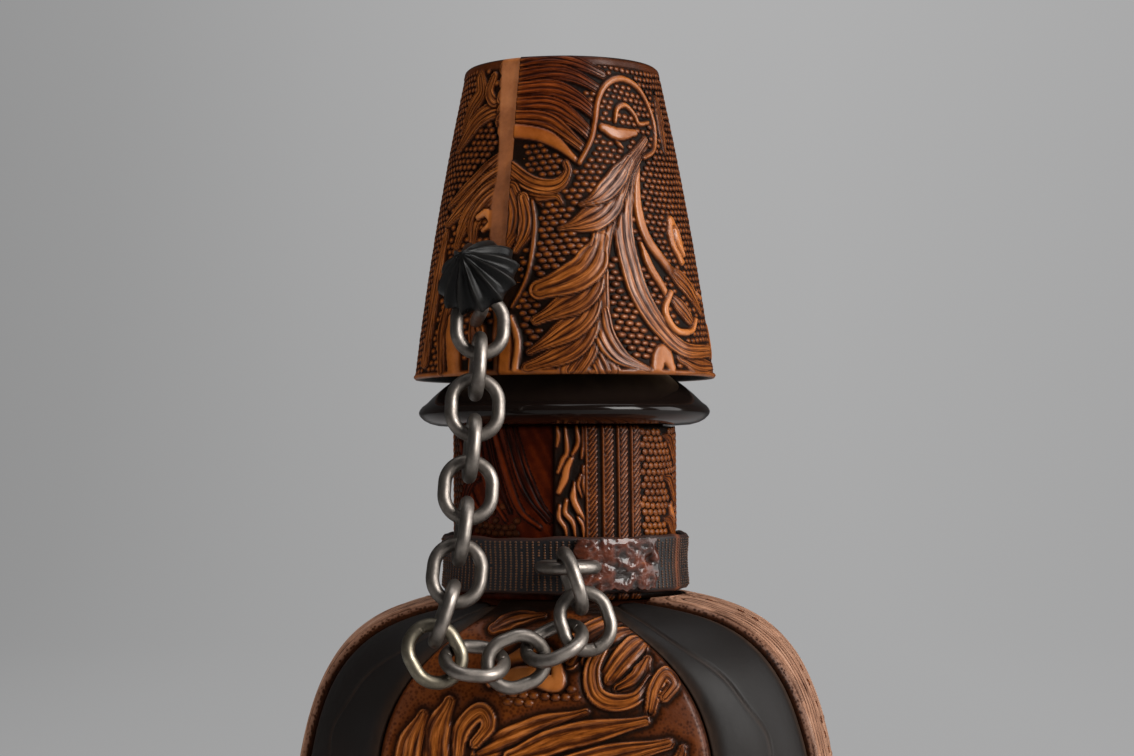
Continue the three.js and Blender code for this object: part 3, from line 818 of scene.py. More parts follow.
VINE = [
    ([(2.0, 25.1), (3.4, 27.9), (3.9, 30.3), (4.3, 32.9), (5.3, 34.8), (6.9, 35.7), (8.7, 35.2),
      (10.0, 33.7), (11.0, 31.3), (11.3, 29.0), (11.0, 27.1), (9.8, 26.1)], 0.42, 0, 0.95, (0.8, 0.7)),
    ([(6.3, 30.3), (6.6, 31.9), (7.6, 32.4), (8.7, 31.3), (9.2, 30.3), (10.4, 30.6)],
     0.34, 0, 0.95, (0.8, 0.8)),
    ([(6.3, 28.2), (6.7, 27.6), (7.2, 27.1)], 0.32, 0, 0.9, (0.7, 0.5)),
    ([(4.7, 29.5), (6.6, 28.8), (8.7, 29.1)], 0.80, 0, 0.95, (0.7, 0.6)),
]
LEFT_LEAF = [
    ([(10.0, 28.4), (7.9, 25.3), (6.6, 22.1), (5.0, 17.9), (4.2, 13.7), (3.8, 9.4), (3.4, 4.7), (3.2, 0.4)],
     1.20, 4, 1.05, (0.4, 1.9)),
    ([(3.7, 8.0), (3.9, 3.9), (5.2, 0.4)], 1.30, 4, 1.0, (0.5, 1.0), 0.4),
    ([(3.4, 7.0), (2.4, 2.9), (0.8, 0.4)], 1.40, 4, 1.0, (0.5, 1.0), 0.4),
    ([(4.2, 9.4), (4.7, 5.0), (6.6, 2.1), (9.8, 0.6)], 1.15, 3, 1.0, (0.5, 0.4), 0.35),
    ([(3.7, 8.0), (1.8, 3.9), (-0.8, 2.1), (-4.2, 0.8)], 1.35, 4, 1.0, (0.5, 0.5), 0.35),
    ([(4.0, 10.4), (2.1, 6.5), (-0.8, 4.4), (-4.0, 2.6)], 1.40, 4, 1.0, (0.5, 0.3), 0.35),
    ([(4.2, 13.0), (2.4, 9.4), (-0.6, 7.6), (-3.2, 6.3)], 1.55, 4, 1.0, (0.5, 0.4), 0.35),
    ([(4.5, 16.0), (2.9, 12.6), (0.4, 11.0), (-2.8, 9.9)], 1.85, 3, 1.05, (0.5, 0.65), 0.35),
    ([(6.8, 22.6), (5.0, 19.5), (2.4, 17.9), (-0.4, 17.1)], 1.60, 4, 1.05, (0.6, 0.2), 0.35),
    ([(7.8, 25.6), (5.8, 22.6), (3.9, 20.8), (2.1, 20.0)], 1.25, 3, 1.05, (0.6, 0.25), 0.35),
]
RIGHT_SCROLL = [
    ([(14.0, 2.1), (16.1, 1.3), (18.0, 1.3)], 1.00, 3, 0.95, (0.7, 0.6)),
    ([(11.0, 0.9), (11.8, 2.7), (12.8, 0.9)], 1.00, 0, 0.95, (0.8, 0.6)),
    ([(9.2, 26.6), (8.8, 23.2), (9.0, 19.5), (10.0, 16.3), (11.9, 13.7), (14.0, 11.3), (16.6, 9.7)],
     0.66, 0, 1.0, (0.6, 0.6)),
    ([(12.6, 12.8), (15.1, 10.5), (16.6, 7.9)], 1.15, 3, 1.0, (0.5, 0.4), 0.3),
    ([(9.2, 15.6), (10.3, 12.9), (11.6, 10.8), (12.6, 9.0)], 0.56, 0, 1.05, (0.5, 0.8)),
    ([(9.9, 27.6), (7.9, 24.2), (7.2, 20.5), (7.2, 16.8), (7.9, 13.1), (9.2, 9.2), (11.6, 5.5), (14.5, 3.1),
      (17.6, 3.2)], 1.25, 3, 1.1, (0.45, 0.6)),
    ([(12.9, 9.4), (14.5, 7.6), (15.8, 5.8)], 0.90, 3, 1.05, (0.6, 0.4)),
    ([(12.8, 9.9), (12.1, 7.6), (13.4, 5.4), (15.3, 5.4), (15.9, 6.9)], 0.46, 0, 1.15, (0.8, 0.6)),
    ([(13.0, 18.6), (13.6, 16.3), (14.2, 14.0)], 1.45, 0, 1.15, (0.55, 0.5)),
    ([(13.4, 17.6), (13.9, 16.0), (14.4, 14.6)], 0.60, 0, 1.45, (0.6, 0.5)),
    ([(11.6, 33.7), (12.1, 30.6), (12.6, 27.4)], 1.00, 3, 0.9, (0.7, 0.5)),
]
SEAM_LEAVES = [
    ([(-7.0, 0.4), (-6.9, 4.0), (-7.5, 7.6)], 1.40, 0, 0.80, (0.9, 0.6)),
    ([(-6.2, 22.4), (-4.5, 21.3), (-3.2, 20.8), (-2.5, 20.0)], 0.66, 2, 0.9, (1.0, 0.3)),
    ([(-6.4, 23.0), (-4.5, 21.9), (-2.4, 21.3), (-0.8, 21.1), (-0.1, 20.2)], 0.85, 3, 0.95, (1.0, 0.3)),
    ([(-6.2, 24.6), (-4.0, 22.8), (-1.9, 22.2), (-0.3, 22.6), (0.6, 24.0), (0.4, 25.0)],
     0.95, 3, 1.05, (1.0, 0.5)),
    ([(-6.1, 22.0), (-5.4, 19.5), (-5.7, 17.1), (-6.6, 15.4)], 1.30, 4, 0.95, (0.8, 0.5)),
    ([(-4.7, 21.0), (-4.2, 18.7), (-4.5, 16.6), (-5.6, 14.6)], 0.95, 3, 1.0, (0.7, 0.4)),
    ([(-3.6, 20.6), (-3.3, 17.9), (-3.7, 14.2), (-4.5, 11.0), (-6.1, 7.9)], 0.28, 0, 0.8, (0.7, 0.6)),
    ([(-6.1, 6.8), (-5.4, 3.9), (-5.7, 0.6)], 0.40, 0, 1.05, (0.6, 0.9)),
]
LEFT_SIDE = [
    ([(-12.0, 30.6), (-11.0, 32.9), (-9.9, 34.5), (-10.0, 36.4)], 1.25, 4, 0.95, (0.6, 0.8)),
    ([(-12.6, 28.0), (-10.6, 30.8), (-8.8, 31.9), (-6.9, 32.1)], 1.30, 4, 1.0, (0.6, 0.8)),
    ([(-8.3, 36.2), (-8.9, 34.4), (-8.2, 33.0), (-7.3, 34.0)], 0.75, 2, 1.0, (0.9, 0.6)),
    ([(-6.7, 26.4), (-8.8, 24.9), (-11.1, 22.9), (-13.8, 20.9)], 1.05, 3, 1.0, (0.8, 0.5)),
    ([(-7.0, 24.4), (-9.3, 22.9), (-11.7, 20.8), (-14.0, 18.6)], 1.30, 4, 1.0, (0.8, 0.5)),
    ([(-7.2, 23.0), (-9.6, 21.3), (-11.6, 18.9), (-12.8, 15.8)], 1.35, 4, 1.0, (0.8, 0.5)),
    ([(-7.4, 22.0), (-9.2, 20.6), (-10.6, 18.5), (-10.9, 15.6)], 1.10, 3, 1.0, (0.8, 0.5)),
    ([(-10.1, 19.0), (-9.1, 19.4), (-8.5, 18.3), (-9.5, 17.3)], 0.55, 0, 1.1, (0.8, 0.6)),
    ([(-14.2, 17.4), (-15.0, 13.7), (-15.8, 8.7), (-16.8, 2.0)], 1.10, 3, 1.0, (0.6, 0.8)),
    ([(-13.0, 13.6), (-13.6, 9.6), (-14.6, 5.2), (-14.6, 0.6)], 0.80, 2, 0.9, (0.5, 0.8)),
    ([(-13.4, 7.0), (-13.2, 4.0), (-13.0, 0.5)], 1.10, 0, 0.85, (0.5, 0.9)),
    ([(-10.6, 7.0), (-10.2, 4.0), (-10.3, 0.5)], 1.10, 3, 0.9, (0.5, 0.9)),
]
FAR_SIDE = [
    ([(0.0, 1.2), (0.8, 9.0), (-1.0, 18.0), (0.6, 27.0), (0.0, 36.6)], 0.70, 2, 1.1, (0.9, 0.6)),
    ([(0.6, 7.0), (3.2, 9.4), (4.6, 13.0)], 1.10, 3, 1.0, (0.5, 0.3)),
    ([(0.2, 10.0), (-2.6, 12.2), (-4.4, 15.6)], 1.10, 3, 1.0, (0.5, 0.3)),
    ([(-0.6, 17.0), (2.2, 19.2), (3.4, 23.0)], 1.10, 3, 1.0, (0.5, 0.3)),
    ([(-0.6, 20.5), (-3.0, 22.6), (-3.8, 26.6)], 1.05, 3, 1.0, (0.5, 0.3)),
    ([(0.4, 27.0), (2.6, 29.0), (3.2, 33.0)], 0.95, 3, 1.0, (0.5, 0.3)),
    ([(0.2, 29.5), (-2.2, 31.4), (-2.8, 35.4)], 0.95, 3, 1.0, (0.5, 0.3)),
    ([(0.0, 3.0), (-2.6, 2.0), (-5.2, 3.4), (-4.8, 6.6), (-2.8, 6.6)], 0.60, 0, 1.1, (0.8, 0.7)),
]


def cap_stroke_path(path, turn):
    """Front-elevation points to arc along the wrap, turned round the axis."""
    x, v = np.array(path, float).T
    radius = cap_radius(CAP_Z[0] + v)
    angle = np.arcsin(np.clip(x / radius, -0.97, 0.97)) + math.radians(turn)
    return np.column_stack([angle * CAP_MEAN, v])


def cap_tooling(azimuth, z):
    """Relief of the stopper wrap at azimuths (degrees) and heights."""
    tool = Tooling(np.radians(azimuth - VIEW_AZIMUTH) * CAP_MEAN, z - CAP_Z[0], 2 * math.pi * CAP_MEAN)
    front = LEFT_SIDE + SEAM_LEAVES + RIGHT_SCROLL + LEFT_LEAF + PLUME + VINE
    back = LEFT_SIDE[:4] + RIGHT_SCROLL + LEFT_LEAF + PLUME + VINE
    for turn, strokes in ((0.0, front), (178.0, back), (112.0, FAR_SIDE), (-118.0, FAR_SIDE)):
        for path, *form in strokes:
            tool.stroke(cap_stroke_path(path, turn), *form)
    return tool


def seam_azimuths(seam, near_count, far_count, clear, pair):
    """Azimuths all round, denser on the photographed half, with a close pair at the seam."""
    near = VIEW_AZIMUTH + np.linspace(-88, 88, near_count)
    near = near[np.abs(near - seam) > clear]
    far = VIEW_AZIMUTH + np.linspace(88, 272, far_count)[1:-1]
    return np.sort(np.concatenate([near, [seam + step for step in pair], far]))


def seam_margin(z):
    """Degrees of smooth skived leather beside the seam, ending behind the stud."""
    heights = [12.0, 14.5, 16.5, 21.0, 24.0, 37.0]
    width = np.interp(z - CAP_Z[0], heights, [0.0, 2.0, 2.5, 2.5, 2.0, 2.7])
    return np.degrees(width / cap_radius(z))


def ring_pebbles(name, turn, radius, height, extent, material, slope=0.0, **look):
    """Pebbles on a turned face, at azimuths (degrees), radii and heights."""
    return pebbles(name, around(turn, radius, height), around(turn, 1.0, slope),
                   around(turn + 90.0, 1.0, 0.0), extent, material, **look)


def stopper_wrap(sizes):
    relief = sizes.relief * TO_MM
    azimuth = seam_azimuths(CAP_SEAM_AZIMUTH, 280, 172, 0.32, (-0.05, 0.25))
    z = np.linspace(*CAP_Z, 204)
    grid_azimuth, grid_z = np.meshgrid(azimuth, z, indexing="ij")
    tool = cap_tooling(grid_azimuth, grid_z)
    rise = tool.field("rise")
    side = turn_from(grid_azimuth, CAP_SEAM_AZIMUTH)
    wide = seam_margin(grid_z)
    margin = smooth(-wide - 0.9, -wide + 0.9, side) * (side < 0) * smooth(0.2, 2.0, wide)
    rise = rise * (1 - margin) + 0.58 * margin
    band = smooth(0.75, 0.45, grid_z - CAP_Z[0])
    rise = np.maximum(rise, 0.80 * band)
    rise = np.maximum(rise, 0.46 * smooth(1.35, 0.95, CAP_Z[1] - grid_z))
    lap = np.where(side >= 0, np.exp(-side / 7.0), 0.0) * 0.5
    edge = np.minimum(grid_z - CAP_Z[0], CAP_Z[1] - grid_z)
    worn = 1 - 0.45 * np.exp(-((edge / 0.30) ** 2))
    radius = cap_radius(grid_z) + (rise - 0.50) * relief * worn + lap * 0.7 - 0.10
    radius -= 0.25 * np.exp(-((edge / 0.16) ** 2))
    radius += 0.10 * np.sin(np.radians(grid_azimuth) * 3 + 0.5) * np.sin(grid_z * 0.11)
    outer = around(grid_azimuth, radius, grid_z)
    inside = cap_radius(np.array([CAP_Z[1], CAP_Z[0]])) - CAP_WRAP_THICKNESS
    inside = np.broadcast_to(inside, (len(azimuth), 2))
    inner = around(azimuth[:, None], inside, np.array([[CAP_Z[1] - 0.1, CAP_Z[0] + 0.1]]))
    crack = np.exp(-((side + 0.15) / 0.5) ** 2)
    top_line = np.exp(-((edge / 0.14) ** 2)) * (grid_z > 230)
    lift = np.clip(rise * (1 - 0.9 * crack) * (1 - 0.95 * top_line), 0, 1.2)
    skived = np.interp(grid_z - CAP_Z[0], [14.0, 26.0, 37.0], [0.68, 0.84, 0.92])
    skived = skived + 0.03 * np.sin(grid_z * 1.7)
    lift = lift * (1 - margin) + skived * margin
    dark = np.full((len(azimuth), 2), 0.05)
    tool.combed *= 1 - margin.ravel()
    turned = grid_azimuth - VIEW_AZIMUTH
    stain = 0.74 * smooth(24.0, 33.0, grid_z - CAP_Z[0])
    stain = stain * smooth(-26.0, -20.0, turned) * smooth(24.0, 12.0, turned)
    piece = loops_object("stopper_leather", beside(outer, inner), True, {
        "lift": beside(lift, dark), "dusk": beside(stain, dark * 0),
        "worn": beside(0.10 * margin, dark * 0), **tool.grain(dark * 0)}, "tooled")
    settle(piece, "stopper", "tooled_leather", "stopper_wrap")

    pitch, row = sizes.bead_pitch * TO_MM, sizes.bead_row * TO_MM
    spots = ground_points(2 * math.pi * CAP_MEAN, CAP_Z[1] - CAP_Z[0] + 0.6, pitch, row, seed=4)
    turn = np.degrees(spots[:, 0] / CAP_MEAN) + VIEW_AZIMUTH
    height = CAP_Z[0] + spots[:, 1]
    side = turn_from(turn, CAP_SEAM_AZIMUTH)
    clear = cap_tooling(turn, height).gap > 0.24
    clear &= ~((side > -seam_margin(height) - 1.9) & (side < 1.0))
    clear &= (height > CAP_Z[0] + 0.5) & (height < CAP_Z[1] - 1.0)
    turn, height = turn[clear], height[clear]
    scale = cap_radius(height) / CAP_MEAN
    rng = np.random.default_rng(9)
    extent = np.tile([0.60 * pitch, 0.56 * row, 0.44 * relief], (len(turn), 1))
    extent[:, 0] *= scale
    extent *= rng.uniform(0.88, 1.06, (len(turn), 1))
    radius = cap_radius(height) - 0.56 * relief - 0.10
    grains = ring_pebbles("stopper_pebbles", turn, radius, height, extent, "tooled", CAP_SLOPE)
    settle(grains, "stopper", "tooled_leather")


def stopper_top(sizes):
    edge = cap_radius(CAP_Z[1]) - CAP_WRAP_THICKNESS - 0.12
    foot = CORE_Z[1] + GAP
    rows = [(0, foot), (edge, foot), (edge, CAP_Z[1] - 0.9), (edge - 0.05, CAP_Z[1] - 0.5)]
    rows += [(edge * f, CAP_Z[1] - 0.45 + 1.2 * (1 - f**2.2)) for f in np.linspace(0.97, 0.06, 24)]
    rows.append((0, CAP_Z[1] + 0.75))
    piece = turned_object("stopper_top", rows, 96, "tooled")
    co = np.array([v.co for v in piece.data.vertices]) * TO_MM
    r = np.hypot(co[:, 0], co[:, 1]) / edge
    wave = np.sin(co[:, 0] * 1.3 + 1.0) * np.sin(co[:, 1] * 1.1) * 0.12
    co[:, 2] += wave * (1 - r) * (co[:, 2] > CAP_Z[1] - 0.6)
    piece.data.vertices.foreach_set("co", (co * MM).astype(np.float32).ravel())
    paint(piece.data, "lift", np.clip(0.58 - 0.5 * smooth(0.86, 1.0, r) + wave, 0, 1))
    piece.data.update()
    settle(piece, "stopper", "tooled_leather", "stopper_top_disc")


def stopper_inside(sizes):
    core = lambda z: float(cap_radius(z)) - CAP_WRAP_THICKNESS - GAP
    socket, top = CORK_RADIUS[1] + GAP, CORK_Z[1] + GAP
    rows = [(0, top), (socket, top), (socket, CORE_Z[0] + 0.4), (socket + 0.4, CORE_Z[0]),
            (core(CORE_Z[0]) - 0.4, CORE_Z[0])]
    rows += [(core(z), z) for z in np.linspace(CORE_Z[0] + 0.4, CORE_Z[1] - 0.3, 16)]
    rows += [(core(CORE_Z[1]) - 0.3, CORE_Z[1]), (0, CORE_Z[1])]
    settle(turned_object("stopper_wood", rows, 96, "wood"), "stopper", "core_wood", "stopper_core")
    a, b = CORK_RADIUS
    rows = [(0, CORK_Z[0]), (a - 0.7, CORK_Z[0]), (a - 0.2, CORK_Z[0] + 0.2), (a, CORK_Z[0] + 0.7)]
    low = CORK_Z[0] + 0.7
    rows += [(a + (b - a) * t, low + (CORK_Z[1] - CORK_Z[0] - 0.7) * t) for t in np.linspace(0.1, 1, 14)]
    rows.append((0, CORK_Z[1]))
    settle(turned_object("stopper_cork", rows, 80, "cork"), "stopper", "cork", "cork")


# Stud and chain


def chain_axes():
    """Normal, level and rising directions of the chain's plane, and the hook point under the stud."""
    joint = next(j for j in frame["joints"] if j["name"] == "hinge_02")
    normal = np.array(joint["axis"], float)
    normal /= np.linalg.norm(normal)
    across = np.array([-normal[1], normal[0], 0.0])
    across /= np.linalg.norm(across)
    return normal, across, np.cross(normal, across), around(STUD_AZIMUTH, *STUD_HOOK)


def rod_loops(line, radius, sides, side_hint):
    line = np.asarray(line, float)
    along = np.gradient(line, axis=0)
    along /= np.linalg.norm(along, axis=1)[:, None]
    side = side_hint - (along @ side_hint)[:, None] * along
    side /= np.linalg.norm(side, axis=1)[:, None]
    other = np.cross(along, side)
    angle = np.linspace(0, 2 * np.pi, sides, endpoint=False)
    return (line[:, None] + radius * (np.cos(angle)[None, :, None] * side[:, None]
                                      + np.sin(angle)[None, :, None] * other[:, None]))


def stud(sizes):
    normal, across, up, hook = chain_axes()
    out = around(STUD_AZIMUTH, 1.0, 0.0)
    axis = out * math.cos(math.radians(STUD_TILT)) + np.array([0, 0, math.sin(math.radians(STUD_TILT))])
    centre = around(STUD_AZIMUTH, STUD_HOOK[0] + 0.2, STUD_HOOK[1] + STUD_LOOP_HEIGHT)
    side = across - (across @ axis) * axis
    side /= np.linalg.norm(side)
    other = np.cross(axis, side)
    radius, flutes = sizes.stud_radius * TO_MM, sizes.stud_flutes
    count = flutes * 12
    angle = np.linspace(0, 2 * np.pi, count, endpoint=False)
    phase = (angle * flutes / (2 * np.pi)) % 1.0
    hollow = 1 - (2 * phase - 1) ** 2
    dome = lambda f: math.sqrt(max(0.0, 1 - f * f)) * 0.55 + (1 - f) * 0.45
    rows = [(f, STUD_HEIGHT * dome(f), 1.0) for f in np.linspace(0.04, 1.0, 30) ** 0.8]
    rows += [(0.97, -0.25, 1.0), (0.92, -0.28, 1.0), (0.86, 0.1, 0.9)]
    rows += [(f, (STUD_HEIGHT - 1.0) * dome(f) - 0.4, 0.7) for f in (0.78, 0.6, 0.4, 0.2, 0.05)]
    loops, ridge = [], []
    for f, h, depth in rows:
        deep = smooth(0.04, 0.42, np.array(f))
        r = radius * f * (1 - 0.15 * hollow * deep * depth)
        lift = h - 0.62 * hollow * deep * depth * (0.45 + 0.55 * f) * (1 - 0.75 * f**6)
        loops.append(centre + np.outer(r * np.cos(angle), side) + np.outer(r * np.sin(angle), other)
                     + np.outer(lift * np.ones(count), axis))
        ridge.append((1 - hollow) ** 3 * (0.35 + 0.65 * f))
    head = loops_object("stud_head", np.array(loops), False, {"ridge": np.array(ridge)}, "black")
    settle(head, "stopper", "black_iron", "chain_stud")

    at = lambda x, y: hook + normal * x + up * y
    bend = STUD_LOOP_HEIGHT / 2
    turn = np.radians(np.linspace(90, -90, 17))
    bow = [at(1.2 + bend * math.cos(a), bend + bend * math.sin(a)) for a in turn]
    line = [at(-6.0, STUD_LOOP_HEIGHT), *bow, at(-6.0, 0.0)]
    wire = sizes.wire * TO_MM / 2
    eye = loops_object("stud_eye", rod_loops(line, wire, 16, across), False, {}, "steel")
    settle(eye, "stopper", "steel")
    post = [centre + axis * h for h in (-0.4, 1.0, STUD_HEIGHT - 1.2)]
    shank = loops_object("stud_shank", rod_loops(post, 1.3, 20, side), False, {}, "black")
    settle(shank, "stopper", "black_iron")


def link_matrix(node):
    """Place of a link from its solid: centre, long axis, width axis."""
    co = np.array([v.co for v in frame["nodes"][node].data.vertices], float)
    co = np.unique(np.round(co, 7), axis=0)
    centre = co.mean(0)
    _, axes = np.linalg.eigh(np.cov((co - centre).T))
    long, wide = axes[:, 2], axes[:, 1]
    columns = np.column_stack([long, wide, np.cross(long, wide), centre])
    return Matrix([*columns.tolist(), [0, 0, 0, 1]])


def chain(sizes):
    for i in range(1, LINKS + 1):
        node = f"chain_link_{i:02d}"
        matrix = link_matrix(node)
        piece = wire_link(f"link_{i:02d}", sizes.link_length, sizes.link_width, matrix,
                          "brass" if i == BRASS_LINK else "steel", sizes.wire)
        co = np.array([v.co for v in piece.data.vertices])
        local = np.array(matrix.inverted())
        along = np.abs(co @ local[0, :3] + local[0, 3]) / (sizes.link_length / 2)
        # Ends of each link, where the next one hooks in, are darkened: painted shade, with some dirt.
        paint(piece.data, "dirt", smooth(0.45, 0.85, along) * 0.62)
        settle(piece, f"link_{i:02d}", "steel", node)
    centre = around(RING_AZIMUTH, RING_CENTRE, RING_Z) * MM
    across = 2 * RING_RADIUS * MM + sizes.wire
    place = Matrix.Translation(Vector(centre))
    ring = wire_link("collar_eye_ring", across, across, place, "steel", sizes.wire)
    settle(ring, "bottle", "steel", "collar_ring")


# Neck


NECK_OUT = NECK_RADIUS + GAP + NECK_WRAP_THICKNESS

# Neck tooling on a front elevation: x to the right of the view's axis, height
NECK_LEFT = [
    ([(-10.8, 206.2), (-9.6, 199.6), (-7.2, 195.2)], 0.42, 0, 1.0, (0.9, 0.5)),
    ([(-12.8, 204.4), (-11.6, 198.6), (-9.6, 195.4)], 0.40, 0, 1.0, (0.9, 0.5)),
    ([(-8.7, 206.4), (-7.0, 200.4), (-5.4, 196.4), (-3.0, 194.4)], 0.46, 0, 1.0, (0.9, 0.5)),
    ([(-9.6, 206.2), (-8.2, 200.0), (-6.6, 196.2)], 0.55, 2, 0.65, (0.9, 0.4)),
    ([(-6.7, 206.4), (-5.2, 201.0), (-3.6, 197.6), (-1.9, 195.4)], 0.95, 2, 0.7, (0.9, 0.5)),
]
NECK_BRANCHES = [
    ([(-0.7, 198.6), (0.0, 200.2), (0.3, 201.6), (1.3, 203.4)], 0.46, 0, 1.1, (0.7, 0.5)),
    ([(-0.8, 200.9), (-0.2, 202.4), (0.3, 203.4), (0.1, 206.2)], 0.30, 0, 1.0, (0.7, 0.6)),
    ([(0.9, 203.0), (1.6, 204.4), (1.4, 206.4)], 0.30, 0, 1.0, (0.7, 0.6)),
    ([(2.0, 202.6), (2.3, 204.4), (2.2, 206.4)], 0.26, 0, 0.9, (0.7, 0.6)),
    ([(-0.9, 204.0), (-0.7, 205.2), (-0.9, 206.4)], 0.26, 0, 0.9, (0.7, 0.6)),
    ([(1.2, 199.6), (1.0, 197.9), (1.6, 196.4), (2.7, 194.4)], 0.40, 0, 1.1, (0.6, 0.6)),
    ([(0.2, 197.6), (0.0, 196.2), (0.9, 195.0), (1.2, 193.4)], 0.34, 0, 1.0, (0.7, 0.5)),
    ([(-0.6, 197.0), (-0.7, 195.6), (0.0, 194.4), (0.2, 193.2)], 0.28, 0, 1.0, (0.7, 0.5)),
    ([(1.5, 195.6), (2.1, 194.6), (2.2, 193.2)], 0.26, 0, 1.0, (0.7, 0.6)),
    ([(2.3, 201.6), (2.2, 199.6), (2.6, 198.2), (3.2, 196.8)], 0.28, 0, 1.0, (0.7, 0.5)),
    ([(1.9, 200.6), (1.6, 199.4), (2.0, 198.0)], 0.22, 0, 0.9, (0.7, 0.5)),
    ([(2.9, 196.6), (2.8, 195.4), (3.3, 194.2)], 0.24, 0, 0.9, (0.7, 0.5)),
]
ROPE_AT = (3.3, 5.3, 7.1, 8.7)
ROPE_TWIST = 0.66


def neck_across(x, turn):
    """Distance round the neck of what shows x to the right of the view's axis."""
    angle = np.arcsin(np.clip(np.asarray(x) / NECK_OUT, -0.98, 0.98)) + math.radians(turn)
    return angle * NECK_OUT


def neck_tooling(azimuth, z):
    tool = Tooling(np.radians(azimuth - VIEW_AZIMUTH) * NECK_OUT, z, 2 * math.pi * NECK_OUT)
    for turn in (0.0, 180.0):
        for path, *form in NECK_LEFT + NECK_BRANCHES:
            x, v = np.array(path).T
            tool.stroke(np.column_stack([neck_across(x, turn), v]), *form)
        for x in ROPE_AT:
            u = float(neck_across(x, turn))
            tool.stroke([(u - 0.62, 186.0), (u - 0.55, 195.0), (u - 0.66, 206.8)], 0.24, 0, 0.95, (1.0, 1.0))
            tool.stroke([(u + 0.10, 186.0), (u + 0.14, 195.0), (u + 0.06, 206.8)], 0.52, 0, 0.20, (1.0, 1.0))
            if turn == 0.0:
                rope = smooth(0.62, 0.45, np.abs(tool.points[:, 0] - u - 0.1))
                phase = (tool.points[:, 1] - 1.3 * (tool.points[:, 0] - u)) / ROPE_TWIST
                tool.rise += rope * 0.80 * (0.5 + 0.5 * np.cos(2 * np.pi * phase)) ** 2
        leaf = float(neck_across(12.9, turn))
        tool.stroke([(leaf, 196.6), (leaf + 1.0, 194.8), (leaf + 1.2, 192.6)], 0.80, 0, 1.1, (0.6, 0.5))
        for x, lean in ((-15.5, 1.8), (18.5, -1.8)):
            u = x + math.radians(turn) * NECK_OUT
            for k in range(4):
                path = np.array([(u, 187.0), (u + lean, 189.6), (u + 2.1 * lean, 190.2)]) + (0.0, 5.0 * k)
                tool.stroke(path, 0.8, 2, 1.0, (0.5, 0.3))
    return tool


def neck(sizes):
    relief = sizes.relief * TO_MM * 0.85
    azimuth = seam_azimuths(NECK_SEAM_AZIMUTH, 270, 150, 0.4, (-0.15, 0.2))
    z = np.linspace(*NECK_WRAP_Z, 118)
    grid_azimuth, grid_z = np.meshgrid(azimuth, z, indexing="ij")
    tool = neck_tooling(grid_azimuth, grid_z)
    side = turn_from(grid_azimuth, NECK_SEAM_AZIMUTH)
    left = (side < 0) & (side > -70)
    rise = np.clip(tool.field("rise"), -0.2, 1.4) * np.where(left, 0.7, 1.0)
    lap = np.where(side >= 0, np.exp(-side / 9.0), 0.0) * 0.45
    edge = np.minimum(grid_z - NECK_WRAP_Z[0], NECK_WRAP_Z[1] - grid_z)
    radius = NECK_OUT + (rise - 0.45) * relief + lap - 0.22 - 0.25 * np.exp(-((edge / 0.18) ** 2))
    outer = around(grid_azimuth, radius, grid_z)
    inner = around(azimuth[:, None], NECK_OUT - NECK_WRAP_THICKNESS, np.array([NECK_WRAP_Z[::-1]]))
    crack = np.exp(-((side + 0.2) / 0.7) ** 2)
    plain = left & (tool.field("gap") > 0.15)
    lift = np.where(plain, 0.52 + 0.06 * np.sin(grid_z * 2.1 + side), np.clip(rise, 0, 1.2))
    lift = lift * (1 - 0.85 * crack)
    # Painted shade: the neck's left side under the lip is darkened and loses its coat, and the rest of the
    # neck a little.
    dusk = np.where(left, 0.92 * smooth(-74, -60, side), 0.0) + np.where(~left, 0.22, 0.0)
    tail = np.zeros((len(azimuth), 2))
    piece = loops_object("neck_leather", beside(outer, inner), True, {
        "lift": beside(lift, tail + 0.3), "dusk": beside(dusk, tail), **tool.grain(tail)}, "tooled")
    settle(piece, "bottle", "tooled_leather", "neck_wrap")

    pitch = 1.02
    tall = NECK_WRAP_Z[1] - COLLAR_Z[1] + 0.8
    spots = ground_points(2 * math.pi * NECK_OUT, tall, pitch, 0.80, seed=12)
    turn = np.degrees(spots[:, 0] / NECK_OUT) + VIEW_AZIMUTH
    height = COLLAR_Z[1] - 0.2 + spots[:, 1]
    clear = neck_tooling(turn, height).gap > 0.26
    side = turn_from(turn, NECK_SEAM_AZIMUTH)
    clear &= ~((side > -46) & (side < 47)) | ((side > -70) & (side < -18) & (height < 197.0))
    clear &= (height < NECK_WRAP_Z[1] - 0.35) & (np.abs(side) > 1.5)
    # Pebbles left of the seam get darker tones: painted shade under the lip.
    painted_shade_side = (side > -75) & (side < 0)
    for name, pick, flat, tones in (("neck_pebbles", clear & ~painted_shade_side, 0.52, (0.16, 0.60, 0.78)),
                                    ("neck_dark_pebbles", clear & painted_shade_side, 0.34, (0.06, 0.26, 0.42))):
        at, high = turn[pick], height[pick]
        extent = np.tile([0.55 * pitch, 0.46, flat * relief], (len(at), 1))
        radius = NECK_OUT - 0.22 - 0.48 * relief
        grains = ring_pebbles(name, at, radius, high, extent, "tooled", tones=tones)
        settle(grains, "bottle", "tooled_leather")


